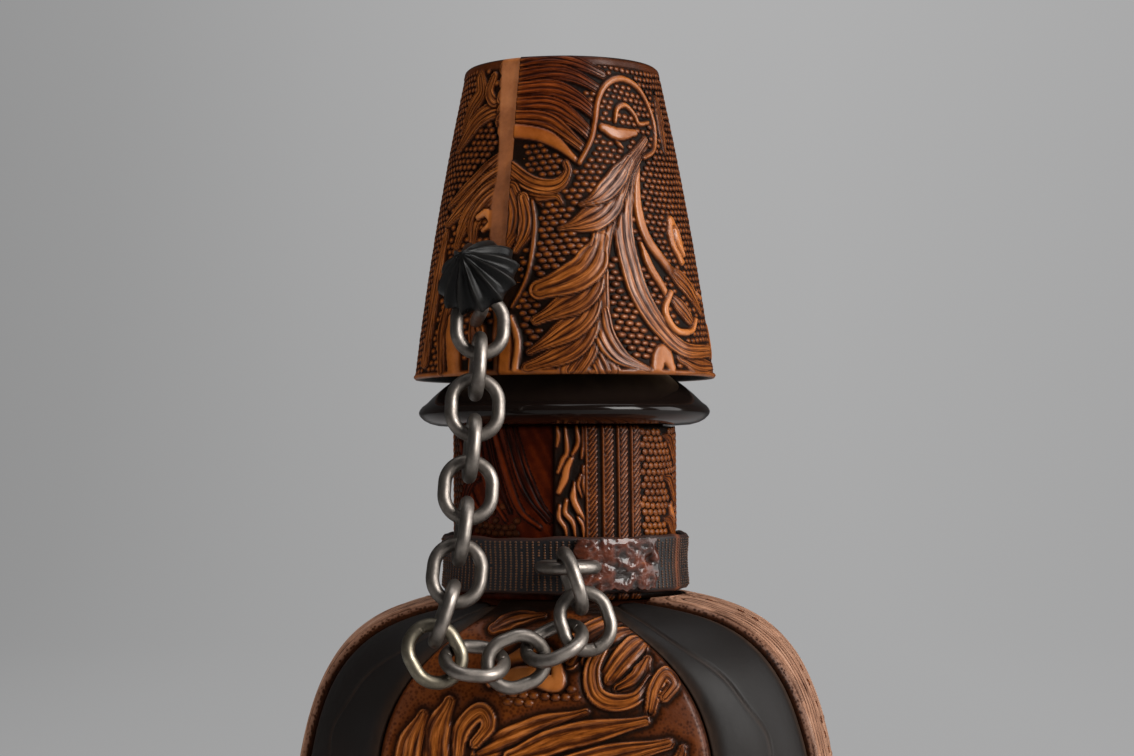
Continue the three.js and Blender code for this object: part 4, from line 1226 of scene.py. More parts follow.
def collar(sizes):
    out = NECK_OUT + GAP + COLLAR_THICKNESS
    azimuth = np.linspace(-180, 180, 361)[:-1]
    z = np.linspace(*COLLAR_Z, 34)
    grid_azimuth, grid_z = np.meshgrid(azimuth, z, indexing="ij")
    t = (grid_z - COLLAR_Z[0]) / (COLLAR_Z[1] - COLLAR_Z[0])
    angle = np.radians(grid_azimuth)
    ragged = 0.16 * np.sin(angle * 7 + 0.8) + 0.10 * np.sin(angle * 17)
    edge = np.minimum(t, 1 - t) * (COLLAR_Z[1] - COLLAR_Z[0])
    radius = out - 0.22 + 0.09 * np.cos(2 * np.pi * t) + 0.12 * np.sin(angle * 5 + 1.0)
    radius -= 0.30 * np.exp(-((edge / 0.20) ** 2))
    outer = around(grid_azimuth, radius, grid_z + ragged * (t - 0.35))
    ends = np.array([[COLLAR_Z[1] - 0.2, COLLAR_Z[0] + 0.2]])
    inner = around(azimuth[:, None], out - COLLAR_THICKNESS, ends)
    worn = np.exp(-(((grid_azimuth - 70.0) / 2.4) ** 2)) + 0.3 * np.exp(-((edge / 0.30) ** 2))
    wear = beside(worn, np.zeros((len(azimuth), 2)))
    piece = loops_object("collar_strap", beside(outer, inner), True, {"wear": wear}, "collar")
    settle(piece, "bottle", "dark_leather", "neck_collar")

    step = math.degrees(sizes.collar_pitch * TO_MM / out)
    turn, height = np.meshgrid(np.arange(-180, 180 - 0.5 * step, step),
                               np.arange(COLLAR_Z[0] + 0.55, COLLAR_Z[1] - 0.4, 0.31), indexing="ij")
    turn, height = turn.ravel(), height.ravel()
    rng = np.random.default_rng(3)
    keep = ~((turn > 13.5) & (turn < 48)) & (rng.random(len(turn)) > 0.04)
    turn, height = turn[keep], height[keep]
    t = (height - COLLAR_Z[0]) / (COLLAR_Z[1] - COLLAR_Z[0])
    base = out - 0.26 + 0.09 * np.cos(2 * np.pi * t) + 0.12 * np.sin(np.radians(turn) * 5 + 1.0)
    extent = np.tile([0.17, 0.15, 0.15], (len(turn), 1))
    extent *= rng.uniform(0.85, 1.1, (len(turn), 1))
    ribs = ring_pebbles("collar_ribs", turn, base, height, extent, "collar", sides=6)
    settle(ribs, "bottle", "dark_leather")


def crumple(azimuth, z):
    """Sharp irregular folds of the worn patch, 0 to 1."""
    folds = []
    for a, h in zip(azimuth, z):
        spot = Vector((a * 0.12 + h * 0.24, h * 0.46 - a * 0.07, 3.7))
        wide = 1 - abs(noise.noise(spot)) * 2.4
        fine = 1 - abs(noise.noise(spot * 2.3)) * 2.2
        folds.append(0.58 * wide + 0.42 * fine)
    return np.clip(folds, 0, 1)


def collar_patch(sizes):
    out = NECK_OUT + 2 * GAP + COLLAR_THICKNESS + PATCH_THICKNESS
    azimuth = np.linspace(*PATCH_AZIMUTH, 110)
    z = np.linspace(0, 1, 72)
    rag = 0.20 * np.sin(azimuth * 0.61) + 0.14 * np.sin(azimuth * 1.7 + 1)
    loops, lift = [], []
    for a, low in zip(azimuth, rag):
        height = PATCH_Z[0] + 0.1 + (PATCH_Z[1] - PATCH_Z[0] - 0.1) * z - low * (0.7 - z)
        lean = 2.2 * np.sin(height * 1.3) + 1.2 * np.sin(height * 3.1 + 1)
        end = min(a - PATCH_AZIMUTH[0], PATCH_AZIMUTH[1] - a)
        turn = a + lean * math.exp(-end / 5.0) * 0.5
        fold = crumple(turn, height)
        edge = np.minimum(np.minimum(height - height[0], height[-1] - height), end * 0.27)
        hole = np.exp(-(((turn - 45.5) / 2.0) ** 2 + ((height - 190.6) / 0.55) ** 2))
        radius = out - 0.32 + 0.17 * fold * smooth(0.0, 0.8, edge + 0.15) - 0.75 * hole
        outer = around(turn, radius, height)
        inner = around(a, out - PATCH_THICKNESS - 0.05, np.array([height[-1], height[0]]))
        loops.append(np.vstack([outer, inner]))
        lift.append(np.concatenate([np.clip(fold * 1.1 - hole, 0, 1), [0.2, 0.2]]))
    piece = loops_object("patch_leather", np.array(loops), False, {"lift": np.array(lift)}, "patch")
    settle(piece, "bottle", "patch_leather", "collar_patch")


# Body


def bezier(points, t):
    a, b, c, d = (np.asarray(p, float) for p in points)
    t = np.asarray(t, float)[..., None]
    return a * (1 - t) ** 3 + 3 * b * t * (1 - t) ** 2 + 3 * c * t * t * (1 - t) + d * t**3


def wall(s):
    """Half width and height of the glass outside, foot (0) to neck (2)."""
    s = np.asarray(s, float)
    low = [(BODY_HALF_WIDTH - 1.4, GLASS_BOTTOM_Z + 3.4), (BODY_HALF_WIDTH - 0.4, 45.0),
           (BODY_HALF_WIDTH + 0.2, 105.0), (BODY_HALF_WIDTH, SHOULDER_FOOT_Z)]
    high = [(BODY_HALF_WIDTH, SHOULDER_FOOT_Z), (BODY_HALF_WIDTH - 1.5, NECK_FOOT_Z - 5.6),
            (26.5, NECK_FOOT_Z - 2.4), (NECK_RADIUS + 0.4, NECK_FOOT_Z)]
    below, above = bezier(low, np.minimum(s, 1)), bezier(high, np.maximum(s - 1, 0))
    return np.where((s <= 1)[..., None], below, above)


def depth_of(half_width):
    spread = (half_width - NECK_RADIUS) * (BODY_HALF_DEPTH - NECK_RADIUS)
    return NECK_RADIUS + spread / (BODY_HALF_WIDTH - NECK_RADIUS)


def squareness_of(half_width):
    return 2 + (BODY_SQUARENESS - 2) * smooth(NECK_RADIUS + 1, 29.0, half_width)


def section(half_width, half_depth, power, z, azimuth):
    s, c = np.sin(azimuth), np.cos(azimuth)
    r = (np.abs(s / half_width) ** power + np.abs(c / half_depth) ** power) ** (-1 / power)
    return np.stack(np.broadcast_arrays(r * s, -r * c, z), -1)


def skin(s, azimuth):
    half, z = np.moveaxis(wall(s), -1, 0)
    return section(half, depth_of(half), squareness_of(half), z, azimuth)


def skin_frame(s, azimuth):
    """Points of the glass outside with their outward normals."""
    step = 1e-3
    low = np.maximum(s - step, 0)
    up = skin(low + 2 * step, azimuth) - skin(low, azimuth)
    turn = skin(s, azimuth + step) - skin(s, azimuth - step)
    normal = np.cross(turn, up)
    return skin(s, azimuth), normal / np.linalg.norm(normal, axis=-1)[..., None]


def front_edge(s):
    return PANEL_HALF_WIDTH + (PANEL_TOP_HALF_WIDTH - PANEL_HALF_WIDTH) * smooth(1.2, 1.95, s) ** 1.15


def side_edge(s):
    taper = SIDE_PANEL_TOP_HALF_WIDTH - SIDE_PANEL_HALF_WIDTH
    edge = SIDE_PANEL_HALF_WIDTH + taper * smooth(1.5, 1.9, s)
    return np.minimum(edge, 0.8 * depth_of(wall(s)[..., 0]))


def face_azimuth(s, x, sideways):
    """Azimuth from a face's own middle of the point x across it."""
    a = wall(s)[..., 0]
    b, p = depth_of(a), squareness_of(a)
    if sideways:
        a, b = b, a
    return np.arctan2(x, b * np.clip(1 - np.abs(x / a) ** p, 1e-6, 1) ** (1 / p))


# Wall places where the body's solids end, and where the leather ends under the collar
SOLID_TOP = 1.885
LEATHER_TOP = 1.955


def down_scale(sideways):
    """Wall places and the distance down the face's middle line from the solid's top."""
    s = np.linspace(0, LEATHER_TOP, 700)
    line = skin(s, np.full(len(s), math.pi / 2 if sideways else 0.0))
    run = np.concatenate([[0], np.cumsum(np.linalg.norm(np.diff(line, axis=0), axis=1))])
    return s, np.interp(SOLID_TOP, s, run) - run


# Level of the untooled ground, and how much coarser its pebbles are than the stopper's
PANEL_GROUND = 0.60
PANEL_COARSENESS = (1.15, 1.20)

# Front panel tooling, drawn on a half millimetre grid: x across, distance down from the panel's top
PANEL_TOP = [
    ([(4.0, 0.5), (7.0, 0.0), (10.0, 0.5)], 0.80, 2, 1.0, (0.7, 0.4)),
    ([(-6.0, 3.5), (-3.5, 2.0), (-0.5, 1.5)], 1.10, 2, 0.9, (0.6, 0.4)),
    ([(3.0, 7.0), (4.5, 4.5), (7.0, 3.0), (10.0, 2.0)], 1.45, 3, 1.1, (0.7, 0.3)),
    ([(5.0, 7.0), (7.0, 5.0), (11.0, 3.5)], 1.10, 2, 1.0, (0.7, 0.3)),
    ([(11.5, 4.5), (9.5, 6.5), (7.5, 9.0)], 1.60, 3, 1.1, (0.4, 0.8)),
    ([(11.5, 7.0), (10.5, 9.0), (8.5, 10.0)], 1.00, 2, 1.0, (0.5, 0.6)),
    ([(6.5, 5.5), (5.5, 8.0), (6.0, 10.5), (8.0, 11.5), (10.5, 11.0), (12.0, 9.0)],
     0.95, 2, 1.15, (0.8, 0.6)),
    ([(12.0, 12.5), (12.5, 10.0), (13.5, 8.5), (14.5, 9.5), (13.5, 11.0)], 0.80, 2, 1.1, (0.8, 0.7)),
    ([(-6.0, 8.5), (-3.5, 7.0), (-1.0, 5.5), (0.5, 6.0)], 0.80, 0, 1.0, (0.6, 0.7)),
    ([(-6.0, 9.5), (-2.0, 8.5), (1.5, 9.5), (1.5, 7.5), (0.5, 6.0)], 1.00, 0, 1.1, (0.4, 0.5)),
    ([(-7.0, 17.0), (-3.5, 15.5), (0.5, 14.0), (5.0, 12.5)], 1.40, 2, 1.1, (0.7, 0.3)),
    ([(-3.5, 17.5), (2.0, 15.5), (6.5, 14.5), (11.5, 13.5)], 1.40, 2, 1.1, (0.6, 0.4)),
    ([(-2.0, 20.5), (4.0, 18.5), (9.5, 17.0), (14.0, 16.0)], 1.60, 3, 1.05, (0.6, 0.4)),
    ([(-9.5, 17.5), (-9.0, 14.5), (-7.0, 12.5), (-6.0, 14.0), (-7.5, 16.0)], 1.00, 2, 1.15, (0.6, 0.6)),
    ([(-12.0, 19.5), (-12.0, 15.0), (-10.5, 11.5)], 1.60, 2, 1.05, (0.8, 0.4)),
    ([(-15.5, 21.0), (-15.0, 16.5), (-13.5, 13.0)], 1.40, 2, 1.05, (0.8, 0.4)),
    ([(16.0, 22.0), (15.0, 19.0), (15.5, 16.5)], 1.10, 2, 1.0, (0.7, 0.4)),
]


def both_ways(repeat, *strokes):
    """Strokes, then the same ones mirrored across and half a repeat further down."""
    return [*strokes, *(([(-x, v + repeat / 2) for x, v in path], *form) for path, *form in strokes)]


# One repeat of the running scroll below, leaves to both sides of a winding stem
SCROLL_REPEAT = 38.0
PANEL_SCROLL = [
    ([(0.0, 0.0), (5.4, 8.0), (5.2, 16.0), (0.0, 19.0), (-5.4, 27.0), (-5.2, 35.0), (0.0, 38.0)],
     0.85, 2, 1.1, (1.0, 1.0)),
    *both_ways(
        SCROLL_REPEAT,
        ([(2.8, 3.2), (-1.4, 6.4), (-3.4, 11.0), (-0.8, 14.2), (2.0, 12.0), (1.0, 9.6)],
         0.80, 2, 1.1, (0.6, 0.6))),
    *both_ways(
        SCROLL_REPEAT,
        ([(5.6, 8.6), (9.4, 7.6), (12.6, 4.4)], 1.25, 3, 1.0, (0.5, 0.25)),
        ([(5.8, 11.4), (10.2, 11.6), (14.6, 9.6)], 1.30, 3, 1.0, (0.5, 0.25)),
        ([(5.4, 14.4), (10.0, 15.6), (14.8, 15.6)], 1.30, 3, 1.0, (0.5, 0.25)),
        ([(3.8, 17.4), (8.2, 19.8), (12.6, 21.0)], 1.15, 3, 1.0, (0.5, 0.25))),
    *both_ways(
        SCROLL_REPEAT,
        ([(-6.4, 8.4), (-9.0, 12.0), (-12.4, 13.6)], 1.10, 2, 1.0, (0.4, 0.4)),
        ([(-7.2, 5.0), (-10.4, 7.2), (-14.2, 6.8)], 1.10, 2, 1.0, (0.4, 0.4))),
]
SIDE_REPEAT = 30.0
SIDE_TOP = [
    ([(-6.0, 0.0), (-6.4, 12.0), (-7.0, 26.0), (-6.0, 38.0)], 2.60, 5, 0.95, (0.9, 0.4)),
    ([(6.0, 0.0), (6.3, 12.0), (6.8, 26.0), (6.0, 38.0)], 2.60, 5, 0.95, (0.9, 0.4)),
    ([(0.0, 0.0), (0.4, 14.0), (-0.5, 28.0), (0.0, 42.0)], 3.00, 5, 1.0, (0.9, 0.3)),
]
SIDE_SCROLL = [
    ([(0.0, 0.0), (3.6, 7.5), (0.0, 15.0), (-3.6, 22.5), (0.0, 30.0)], 0.75, 2, 1.1, (1.0, 1.0)),
    *both_ways(
        SIDE_REPEAT,
        ([(3.2, 5.6), (-0.6, 4.4), (-4.0, 6.4), (-3.6, 9.8), (-0.8, 9.6)], 0.70, 2, 1.1, (0.6, 0.6))),
    *both_ways(
        SIDE_REPEAT,
        ([(3.6, 7.8), (6.2, 5.6), (8.4, 5.4)], 1.05, 3, 1.0, (0.5, 0.25)),
        ([(3.2, 10.4), (6.0, 10.8), (8.6, 12.6)], 1.05, 3, 1.0, (0.5, 0.25))),
    *both_ways(
        SIDE_REPEAT,
        ([(-1.4, 13.0), (-4.6, 13.4), (-7.8, 15.8)], 1.00, 3, 1.0, (0.5, 0.25))),
]


def panel_tooling(x, down, sideways):
    tool = Tooling(x, down, None, PANEL_GROUND, 0.2 if sideways else 0.5)
    if sideways:
        runs = [(SIDE_SCROLL, k * SIDE_REPEAT + 38.0) for k in range(7)]
        runs.append((SIDE_TOP, 0.0))
    else:
        runs = [(PANEL_SCROLL, k * SCROLL_REPEAT + 22.0) for k in range(5)]
        runs.append((PANEL_TOP, 0.0))
    for strokes, start in runs:
        for path, *form in strokes:
            tool.stroke(np.array(path, float) + (0.0, start), *form)
    return tool


def body_sheet(name, point, normal, offset, fields, material, picks):
    """Sheet on the body: its outside at the offsets, and an inside of fewer columns. A field is its
    values outside and its one value inside."""
    pick = np.linspace(offset.shape[1] - 1, 0, picks).round().astype(int)
    inner = (point + normal * (GAP + 0.05))[:, pick]
    loops = beside(point + normal * offset[..., None], inner)
    plain = np.ones(inner.shape[:2])
    attributes = {key: beside(values, plain * tail) for key, (values, tail) in fields.items()}
    return loops_object(name, loops, False, attributes, material)


def panel(face, turn, sideways, sizes):
    """Tooled panel of one face, with pebbles on its ground."""
    relief = sizes.relief * TO_MM
    places, downs = down_scale(sideways)
    edge_of = side_edge if sideways else front_edge
    down = np.concatenate([np.linspace(downs[-1], 30.0, 210), np.linspace(30.0, downs[0], 360)[1:]])
    s = np.interp(down, downs[::-1], places[::-1])
    share = np.linspace(-1, 1, 66 if sideways else 150)
    edge = edge_of(s)
    edge = edge * (1 - 0.5 * GAP / wall(s)[:, 0]) - 0.1
    x = edge[:, None] * share[None, :]
    s_grid = np.broadcast_to(s[:, None], x.shape)
    down_grid = np.broadcast_to(down[:, None], x.shape)
    tool = panel_tooling(x, down_grid, sideways)
    rise = np.clip(tool.field("rise"), -0.1, 1.3)
    rim = edge[:, None] - np.abs(x)
    round_off = np.exp(-((rim / 0.35) ** 2))
    rim_band = np.exp(-((rim / 0.7) ** 2))
    rise = rise * (1 - 0.7 * rim_band) + 0.35 * rim_band
    point, normal = skin_frame(s_grid, face_azimuth(s_grid, x, sideways) + turn)
    offset = GAP + PANEL_THICKNESS - 0.18 + (rise - 0.6) * relief - 0.55 * round_off
    lift = np.clip(rise, 0, 1.2) * (1 - 0.55 * round_off)
    if not sideways:
        lift *= smooth(0.2, 1.4, down_grid - 0.03 * x**2)
    worn = (0.35 + 0.65 * smooth(46.0, 20.0, down_grid)) * (1.0 if sideways else 0.0)
    stipple = smooth(0.0, 0.6, tool.field("gap"))
    fields = {"lift": (lift, 0.2), "worn": (worn, 0.0), "stipple": (stipple, 0.0)}
    fields.update((key, (tool.field(key), 0.0)) for key in GRAIN)
    piece = body_sheet(face + "_panel", point, normal, offset, fields, "tooled", picks=12)
    settle(piece, "bottle", "tooled_leather", "panel_" + face)

    pitch = sizes.bead_pitch * (PANEL_COARSENESS[0] * TO_MM)
    row = sizes.bead_row * (PANEL_COARSENESS[1] * TO_MM)
    width = 2 * float(edge_of(np.array(0.5)))
    spots = ground_points(width, downs[0], pitch, row, seed=21 + int(sideways))
    s = np.interp(spots[:, 1], downs[::-1], places[::-1])
    across, below = spots.T
    clear = (np.abs(across) < edge_of(s) - 1.3) & (below < downs[0] - 1.0) & (below > 0.6)
    clear &= panel_tooling(across, below, sideways).gap > 0.42
    if not sideways:
        clear &= (below > 22.0) | ((np.abs(below - 10.6) < 1.0) & (np.abs(across) < 4.8))
    spots, s = spots[clear], s[clear]
    point, normal = skin_frame(s, face_azimuth(s, spots[:, 0], sideways) + turn)
    along = np.cross(normal, np.array([0, 0, 1.0]))
    along /= np.linalg.norm(along, axis=1)[:, None]
    extent = np.tile([0.55 * pitch, 0.57 * row, 0.62 * relief], (len(spots), 1))
    points = point + normal * (GAP + PANEL_THICKNESS - 0.18 - 0.14 * relief)
    name = face + "_panel_pebbles"
    tones = (0.22, 0.52, 0.74)
    grains = pebbles(name, points, normal, along, extent, "tooled", sides=6, tones=tones)
    settle(grains, "bottle", "tooled_leather")


def strip(corner, near, far, seed):
    """Smooth dark leather between two panels, with a low crease along the corner."""
    places, downs = down_scale(False)
    down = np.linspace(downs[-1], downs[0], 420)
    s = np.interp(down, downs[::-1], places[::-1])
    share = np.linspace(0, 1, 64)
    left, right = near(s), far(s)
    azimuth = left[:, None] + (right - left)[:, None] * share[None, :]
    s_grid = np.broadcast_to(s[:, None], azimuth.shape)
    point, normal = skin_frame(s_grid, azimuth)
    v, t = np.broadcast_arrays(down[:, None], share[None, :])
    rng = np.random.default_rng(seed)
    a, b = rng.uniform(0, 6, 2)
    swell = 0.10 * np.sin(v * 0.11 + 3 * t + a) + 0.06 * np.sin(v * 0.29 - 5 * t + b)
    path = 0.20 + 0.34 * smooth(0.0, 16.0, v) + 0.02 * np.sin(v * 0.9) + 0.05 * np.sin(v * 0.16 + a)
    fade = smooth(46.0, 6.0, v) + 0.12
    width = (right - left)[:, None] * np.linalg.norm(point[..., :2], axis=-1)
    crease = np.exp(-(((t - path) * width / 0.20) ** 2)) * fade
    shelf = smooth(-0.3, 0.5, (t - path) * width) * fade
    tuck = np.exp(-((np.minimum(t, 1 - t) * width / 0.8) ** 2))
    offset = GAP + STRIP_THICKNESS - 0.12 + swell - 0.16 * crease + 0.07 * shelf - 0.30 * tuck
    wear = np.clip(0.25 * crease + 0.5 * tuck, 0, 1)
    # Painted brown reflection, low down the middle of the strip.
    glow = smooth(14.0, 34.0, v) * np.exp(-(((t - 0.45) / 0.30) ** 2))
    fields = {"wear": (wear, 0.0), "glow": (glow, 0.0)}
    piece = body_sheet("corner_" + corner, point, normal, offset, fields, "strip", picks=9)
    settle(piece, "bottle", "dark_leather", "strip_" + corner)


def body_leather(sizes):
    for face, quarters in (("front", 0), ("back", 2), ("right", 1), ("left", 3)):
        panel(face, quarters * math.pi / 2, quarters % 2 == 1, sizes)


def corner_strips(sizes):
    seam = lambda s: 0.5 * GAP / wall(s)[..., 0]
    near = lambda s: face_azimuth(s, front_edge(s), False) + seam(s)
    far = lambda s: math.pi / 2 - face_azimuth(s, side_edge(s), True) - seam(s)
    corners = (("front_right", 0.0, 1), ("back_right", math.pi, -1),
               ("back_left", math.pi, 1), ("front_left", 0.0, -1))
    for seed, (corner, start, way) in enumerate(corners, 1):
        strip(corner, lambda s: start + way * near(s), lambda s: start + way * far(s), seed)


def base_tray(sizes):
    half = float(wall(np.array(0.0))[0])
    deep, power = float(depth_of(half)), float(squareness_of(half))
    rim = GAP + PANEL_THICKNESS
    rows = [(rim - 1.0, 0.0), (rim - 0.5, 0.08), (rim - 0.15, 0.35), (rim, 0.8)]
    rows += [(rim + 0.06 * math.sin(k), 0.8 + (BASE_RIM_Z - 1.1) * k / 8) for k in range(1, 9)]
    rows += [(rim - 0.3, BASE_RIM_Z), (GAP + 0.2, BASE_RIM_Z)]
    rows += [(GAP, BASE_RIM_Z - 0.2), (GAP, BASE_THICKNESS)]
    angle = np.linspace(0, 2 * np.pi, 160, endpoint=False)
    loops = np.array([section(half + out, deep + out, power, z, angle) for out, z in rows])
    tuck = np.array([[0.5 if z in (0.35, BASE_RIM_Z) else 0.0] * len(angle) for _, z in rows])
    piece = loops_object("base_leather_tray", loops, False, {"wear": tuck}, "strip")
    settle(piece, "bottle", "dark_leather", "base_leather")


# Rows of the lip from its underside over the edge into the bore: distance out from a radius, rise
LIP_ROWS = [
    (NECK_RADIUS, [(1.6, -1.22), (2.2, -1.44)]),
    (LIP_RADIUS, [
        (-2.4, -1.36), (-1.4, -1.10), (-0.7, -0.74), (-0.22, -0.30), (-0.04, 0.0), (0.0, 0.26),
        (-0.10, 0.55), (-0.40, 0.95), (-1.0, 1.4), (-1.9, 2.3), (-3.0, 3.25), (-4.2, 4.15),
        (-5.3, 4.95), (-6.2, 5.4)]),
    (BORE_RADIUS, [(1.6, 5.6), (0.7, 5.5), (0.15, 5.1), (0.0, 4.5)]),
]
GLASS_WALL = 3.2


def glass(sizes):
    """One wall from the underside over the flared lip to the inside floor."""
    angle = np.linspace(0, 2 * np.pi, 144, endpoint=False)
    foot = float(wall(np.array(0.0))[0])
    deep = float(depth_of(foot))
    rows = []
    body = lambda a, b, z: rows.append(section(a, b, float(squareness_of(a)), z, angle))
    ring = lambda r, z: rows.append(section(r, r, 2.0, z, angle))
    body(foot - 3.4, deep - 3.4, GLASS_BOTTOM_Z)
    body(foot - 1.0, deep - 1.0, GLASS_BOTTOM_Z + 1.0)
    for s in np.concatenate([np.linspace(0, 1, 12), np.linspace(1.05, 1.9, 26)]):
        a, z = wall(s)
        body(a, float(depth_of(a)), z)
    ring(NECK_RADIUS, NECK_FOOT_Z + 0.3)
    ring(NECK_RADIUS, LIP_Z - 1.2)
    for radius, places in LIP_ROWS:
        for out, rise in places:
            ring(radius + out, LIP_Z + rise)
    ring(BORE_RADIUS, NECK_FOOT_Z + 1.5)
    for s in (1.88, 1.78, 1.67, 1.57, 1.47, 1.36, 1.26, 1.12, 1.0, 0.66, 0.33):
        a, z = (float(k) for k in wall(np.array(s)))
        inset = GLASS_WALL - 0.6 * float(smooth(1.4, 1.6, np.array(s)))
        drop = 2.4 * float(smooth(1.0, 1.3, np.array(s)))
        body(max(a - inset, BORE_RADIUS), max(float(depth_of(a)) - inset, BORE_RADIUS), z - drop)
    body(foot - GLASS_WALL, deep - GLASS_WALL, GLASS_BOTTOM_Z + 8)
    body(foot - 6.2, deep - 6.2, GLASS_BOTTOM_Z + 5)
    piece = loops_object("bottle_glass", np.array(rows), False, {}, "glass")
    settle(piece, "bottle", "dark_glass", "glass_bottle")


# Stage


def sweep_grey(colour):
    """Grey sweep: the floor near the flask takes its shadow, and further out the camera sees an even level
    that falls off to the left of the view."""
    f = Finish("grey sweep", Roughness=0.9, Base_Color=colour)
    place = f.place()
    a = math.radians(VIEW_AZIMUTH)
    across = f.node("ShaderNodeVectorMath", {"operation": "DOT_PRODUCT"}, {
        0: place, 1: (math.cos(a), math.sin(a), 0.0)}, "Value")
    out = f.node("ShaderNodeVectorMath", {"operation": "LENGTH"}, {0: place}, "Value")
    # Painted light falloff across the backdrop: darker to the left of the view; the mix below darkens it a
    # little lower down.
    tones = [(0.0, 0.70), (0.14, 0.775), (0.3, 0.90), (0.5, 1.02),
             (0.7, 1.03), (0.83, 0.995), (1.0, 0.95)]
    level = f.ramp(across.step(-0.90, 0.90), [(at, [tone * c for c in colour]) for at, tone in tones])
    height = f.node("ShaderNodeSeparateXYZ", {}, {"Vector": place}, "Z")
    level = f.mix([0.0] * 3, level, height.step(0.0, 0.9) * 0.10 + 0.90)
    glow = f.node("ShaderNodeEmission", {}, {"Color": level, "Strength": 1.0})
    seen = f.node("ShaderNodeLightPath", output="Is Camera Ray") * out.step(0.45, 1.1)
    shaded = Tone(f.tree, f.surface.outputs[0])
    whole = f.node("ShaderNodeMixShader", {}, {0: seen, 1: shaded, 2: glow})
    f.tree.links.new(whole.socket, f.tree.nodes["Material Output"].inputs["Surface"])
    return f.material


# The floor lies this far under the flask, metres
FLOOR_GAP = 0.0002


def lamp(name, place, aim, size, power, colour=(1, 1, 1), mirrored=True):
    data = bpy.data.lights.new(name, "AREA")
    data.shape, data.size, data.size_y = "RECTANGLE", size[0], size[1]
    data.energy, data.color = power, colour
    light = linked(bpy.data.objects.new(name, data))
    light.location = place
    light.visible_glossy = mirrored
    light.rotation_mode = "QUATERNION"
    light.rotation_quaternion = (Vector(aim) - Vector(place)).to_track_quat("-Z", "Y")


def sweep_floor(colours):
    """Round floor that curves up into a backdrop, in metres."""
    angle = np.linspace(0, 2 * np.pi, 96, endpoint=False)
    bend = [(2.2 + 0.8 * math.sin(t), 0.8 - 0.8 * math.cos(t)) for t in np.linspace(0, math.pi / 2, 16)]
    rows = [(0.35, 0.0), (1.4, 0.0), (2.2, 0.0), *bend, (3.0, 2.0), (3.0, 3.4)]
    points, faces = [(0, 0, -FLOOR_GAP)], []
    for r, z in rows:
        points += [(r * math.sin(a), -r * math.cos(a), z - FLOOR_GAP) for a in angle]
    count = len(angle)
    for i in range(count):
        j = (i + 1) % count
        faces.append((0, 1 + i, 1 + j))
        for k in range(len(rows) - 1):
            a, b = 1 + k * count, 1 + (k + 1) * count
            faces.append((a + i, b + i, b + j, a + j))
    sweep = bpy.data.meshes.new("sweep")
    sweep.from_pydata(points, [], faces)
    sweep.polygons.foreach_set("use_smooth", np.ones(len(faces), bool))
    sweep.materials.append(sweep_grey(tuple(colours.backdrop)))
    linked(bpy.data.objects.new("sweep", sweep))


def lighting():
    world = bpy.data.worlds.new("soft room")
    bpy.context.scene.world = world
    world.use_nodes = True
    room = world.node_tree.nodes["Background"].inputs
    room["Color"].default_value = (0.80, 0.83, 0.88, 1.0)
    room["Strength"].default_value = 0.06
    aim = (0, 0, 0.19)
    lamp("key softbox", (0.70, -0.45, 0.58), aim, (0.40, 0.60), 10.0, (1.0, 0.98, 0.95))
    lamp("left softbox", (-0.75, -0.42, 0.42), aim, (0.45, 0.70), 4.4, (1.0, 0.98, 0.96), mirrored=False)
    lamp("top softbox", (0.05, 0.05, 0.95), aim, (0.60, 0.60), 2.6)
    lamp("back softbox", (-0.30, 0.75, 0.55), aim, (0.60, 0.50), 1.4, mirrored=False)
    lamp("right softbox", (0.85, 0.12, 0.42), aim, (0.40, 0.70), 3.4, (1.0, 0.99, 0.98))


def view():
    """Camera at the photograph's place, tilted up and rolled a little."""
    data = bpy.data.cameras.new("view")
    data.sensor_width, data.lens = 36.0, CAMERA_LENS
    data.clip_start, data.clip_end = 0.01, 20.0
    camera = linked(bpy.data.objects.new("view", data))
    a = math.radians(VIEW_AZIMUTH)
    back = Vector((math.sin(a), -math.cos(a), 0.0))
    right = Vector((math.cos(a), math.sin(a), 0.0))
    up = Vector((0, 0, 1))
    pitch, roll = math.radians(CAMERA_PITCH), math.radians(CAMERA_ROLL)
    look = -back * math.cos(pitch) + up * math.sin(pitch)
    top = up * math.cos(pitch) + back * math.sin(pitch)
    x_axis = right * math.cos(roll) - top * math.sin(roll)
    y_axis = top * math.cos(roll) + right * math.sin(roll)
    camera.matrix_world = Matrix((x_axis, y_axis, -look)).transposed().to_4x4()
    camera.location = back * CAMERA_BACK + up * CAMERA_HEIGHT + right * CAMERA_ASIDE
    scene = bpy.context.scene
    scene.camera = camera
    scene.view_settings.view_transform = "Standard"


# Operators


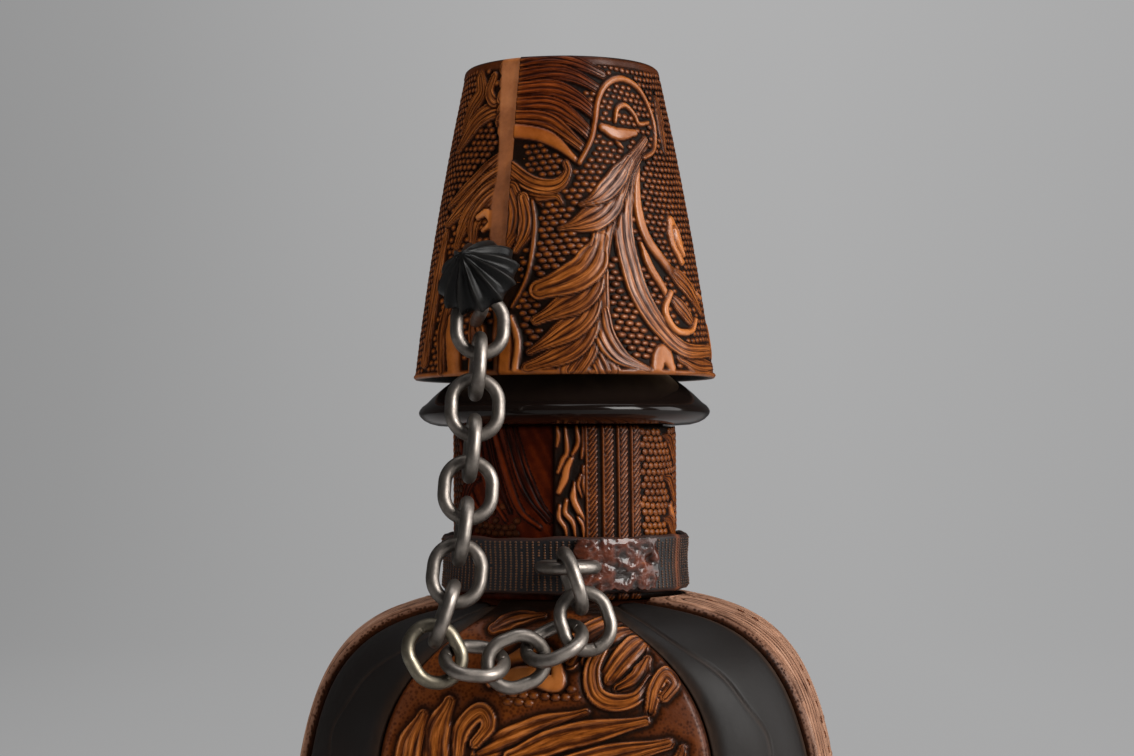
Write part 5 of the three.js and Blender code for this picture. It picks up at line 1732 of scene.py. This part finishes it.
def flask_operator(idname, label, text, *makers):
    """An operator class that runs its makers on the scene's flask sizes."""

    def execute(self, context):
        for make in makers:
            make(context.scene.flask_sizes)
        return {"FINISHED"}

    return type("FLASK_OT_" + idname, (bpy.types.Operator,), {
        "bl_idname": "flask." + idname, "bl_label": label, "__doc__": text, "execute": execute})


class FLASK_OT_stage(bpy.types.Operator):
    """Floor, backdrop, lights and camera"""

    bl_idname = "flask.stage"
    bl_label = "Stage"

    def execute(self, context):
        sweep_floor(context.scene.flask_colours)
        lighting()
        view()
        return {"FINISHED"}


OPERATORS = [
    FLASK_OT_stage,
    flask_operator("glass", "Glass bottle", "Dark glass with a flared lip", glass),
    flask_operator("stopper", "Stopper", "Tooled wrap, top disc, wood and cork",
                   stopper_wrap, stopper_top, stopper_inside),
    flask_operator("stud", "Stud", "Fluted nail head with its eye", stud),
    flask_operator("chain", "Chain", "Wire links and the collar ring", chain),
    flask_operator("neck", "Neck", "Tooled neck wrap", neck),
    flask_operator("collar", "Collar", "Ribbed strap and its worn patch", collar, collar_patch),
    flask_operator("panels", "Panels", "Four tooled panels of the body", body_leather),
    flask_operator("strips", "Corner strips", "Smooth dark leather over the corners", corner_strips),
    flask_operator("base", "Base", "Leather tray under the bottle", base_tray),
]


class FLASK_PT_panel(bpy.types.Panel):
    """Builds the flask piece by piece"""

    bl_label = "Flask"
    bl_idname = "FLASK_PT_panel"
    bl_space_type = "VIEW_3D"
    bl_region_type = "UI"
    bl_category = "Flask"

    def draw(self, context):
        for group in (context.scene.flask_sizes, context.scene.flask_colours):
            for key in group.__annotations__:
                self.layout.prop(group, key)
        for operator in OPERATORS:
            self.layout.operator(operator.bl_idname)


CLASSES = [FlaskSizes, FlaskColours, *OPERATORS, FLASK_PT_panel]


def register():
    for cls in CLASSES:
        bpy.utils.register_class(cls)
    bpy.types.Scene.flask_sizes = bpy.props.PointerProperty(type=FlaskSizes)
    bpy.types.Scene.flask_colours = bpy.props.PointerProperty(type=FlaskColours)


def unregister():
    del bpy.types.Scene.flask_colours, bpy.types.Scene.flask_sizes
    for cls in reversed(CLASSES):
        bpy.utils.unregister_class(cls)


def main():
    register()
    for operator in OPERATORS:
        getattr(bpy.ops.flask, operator.bl_idname.split(".")[1])()


if __name__ == "__main__":
    main()
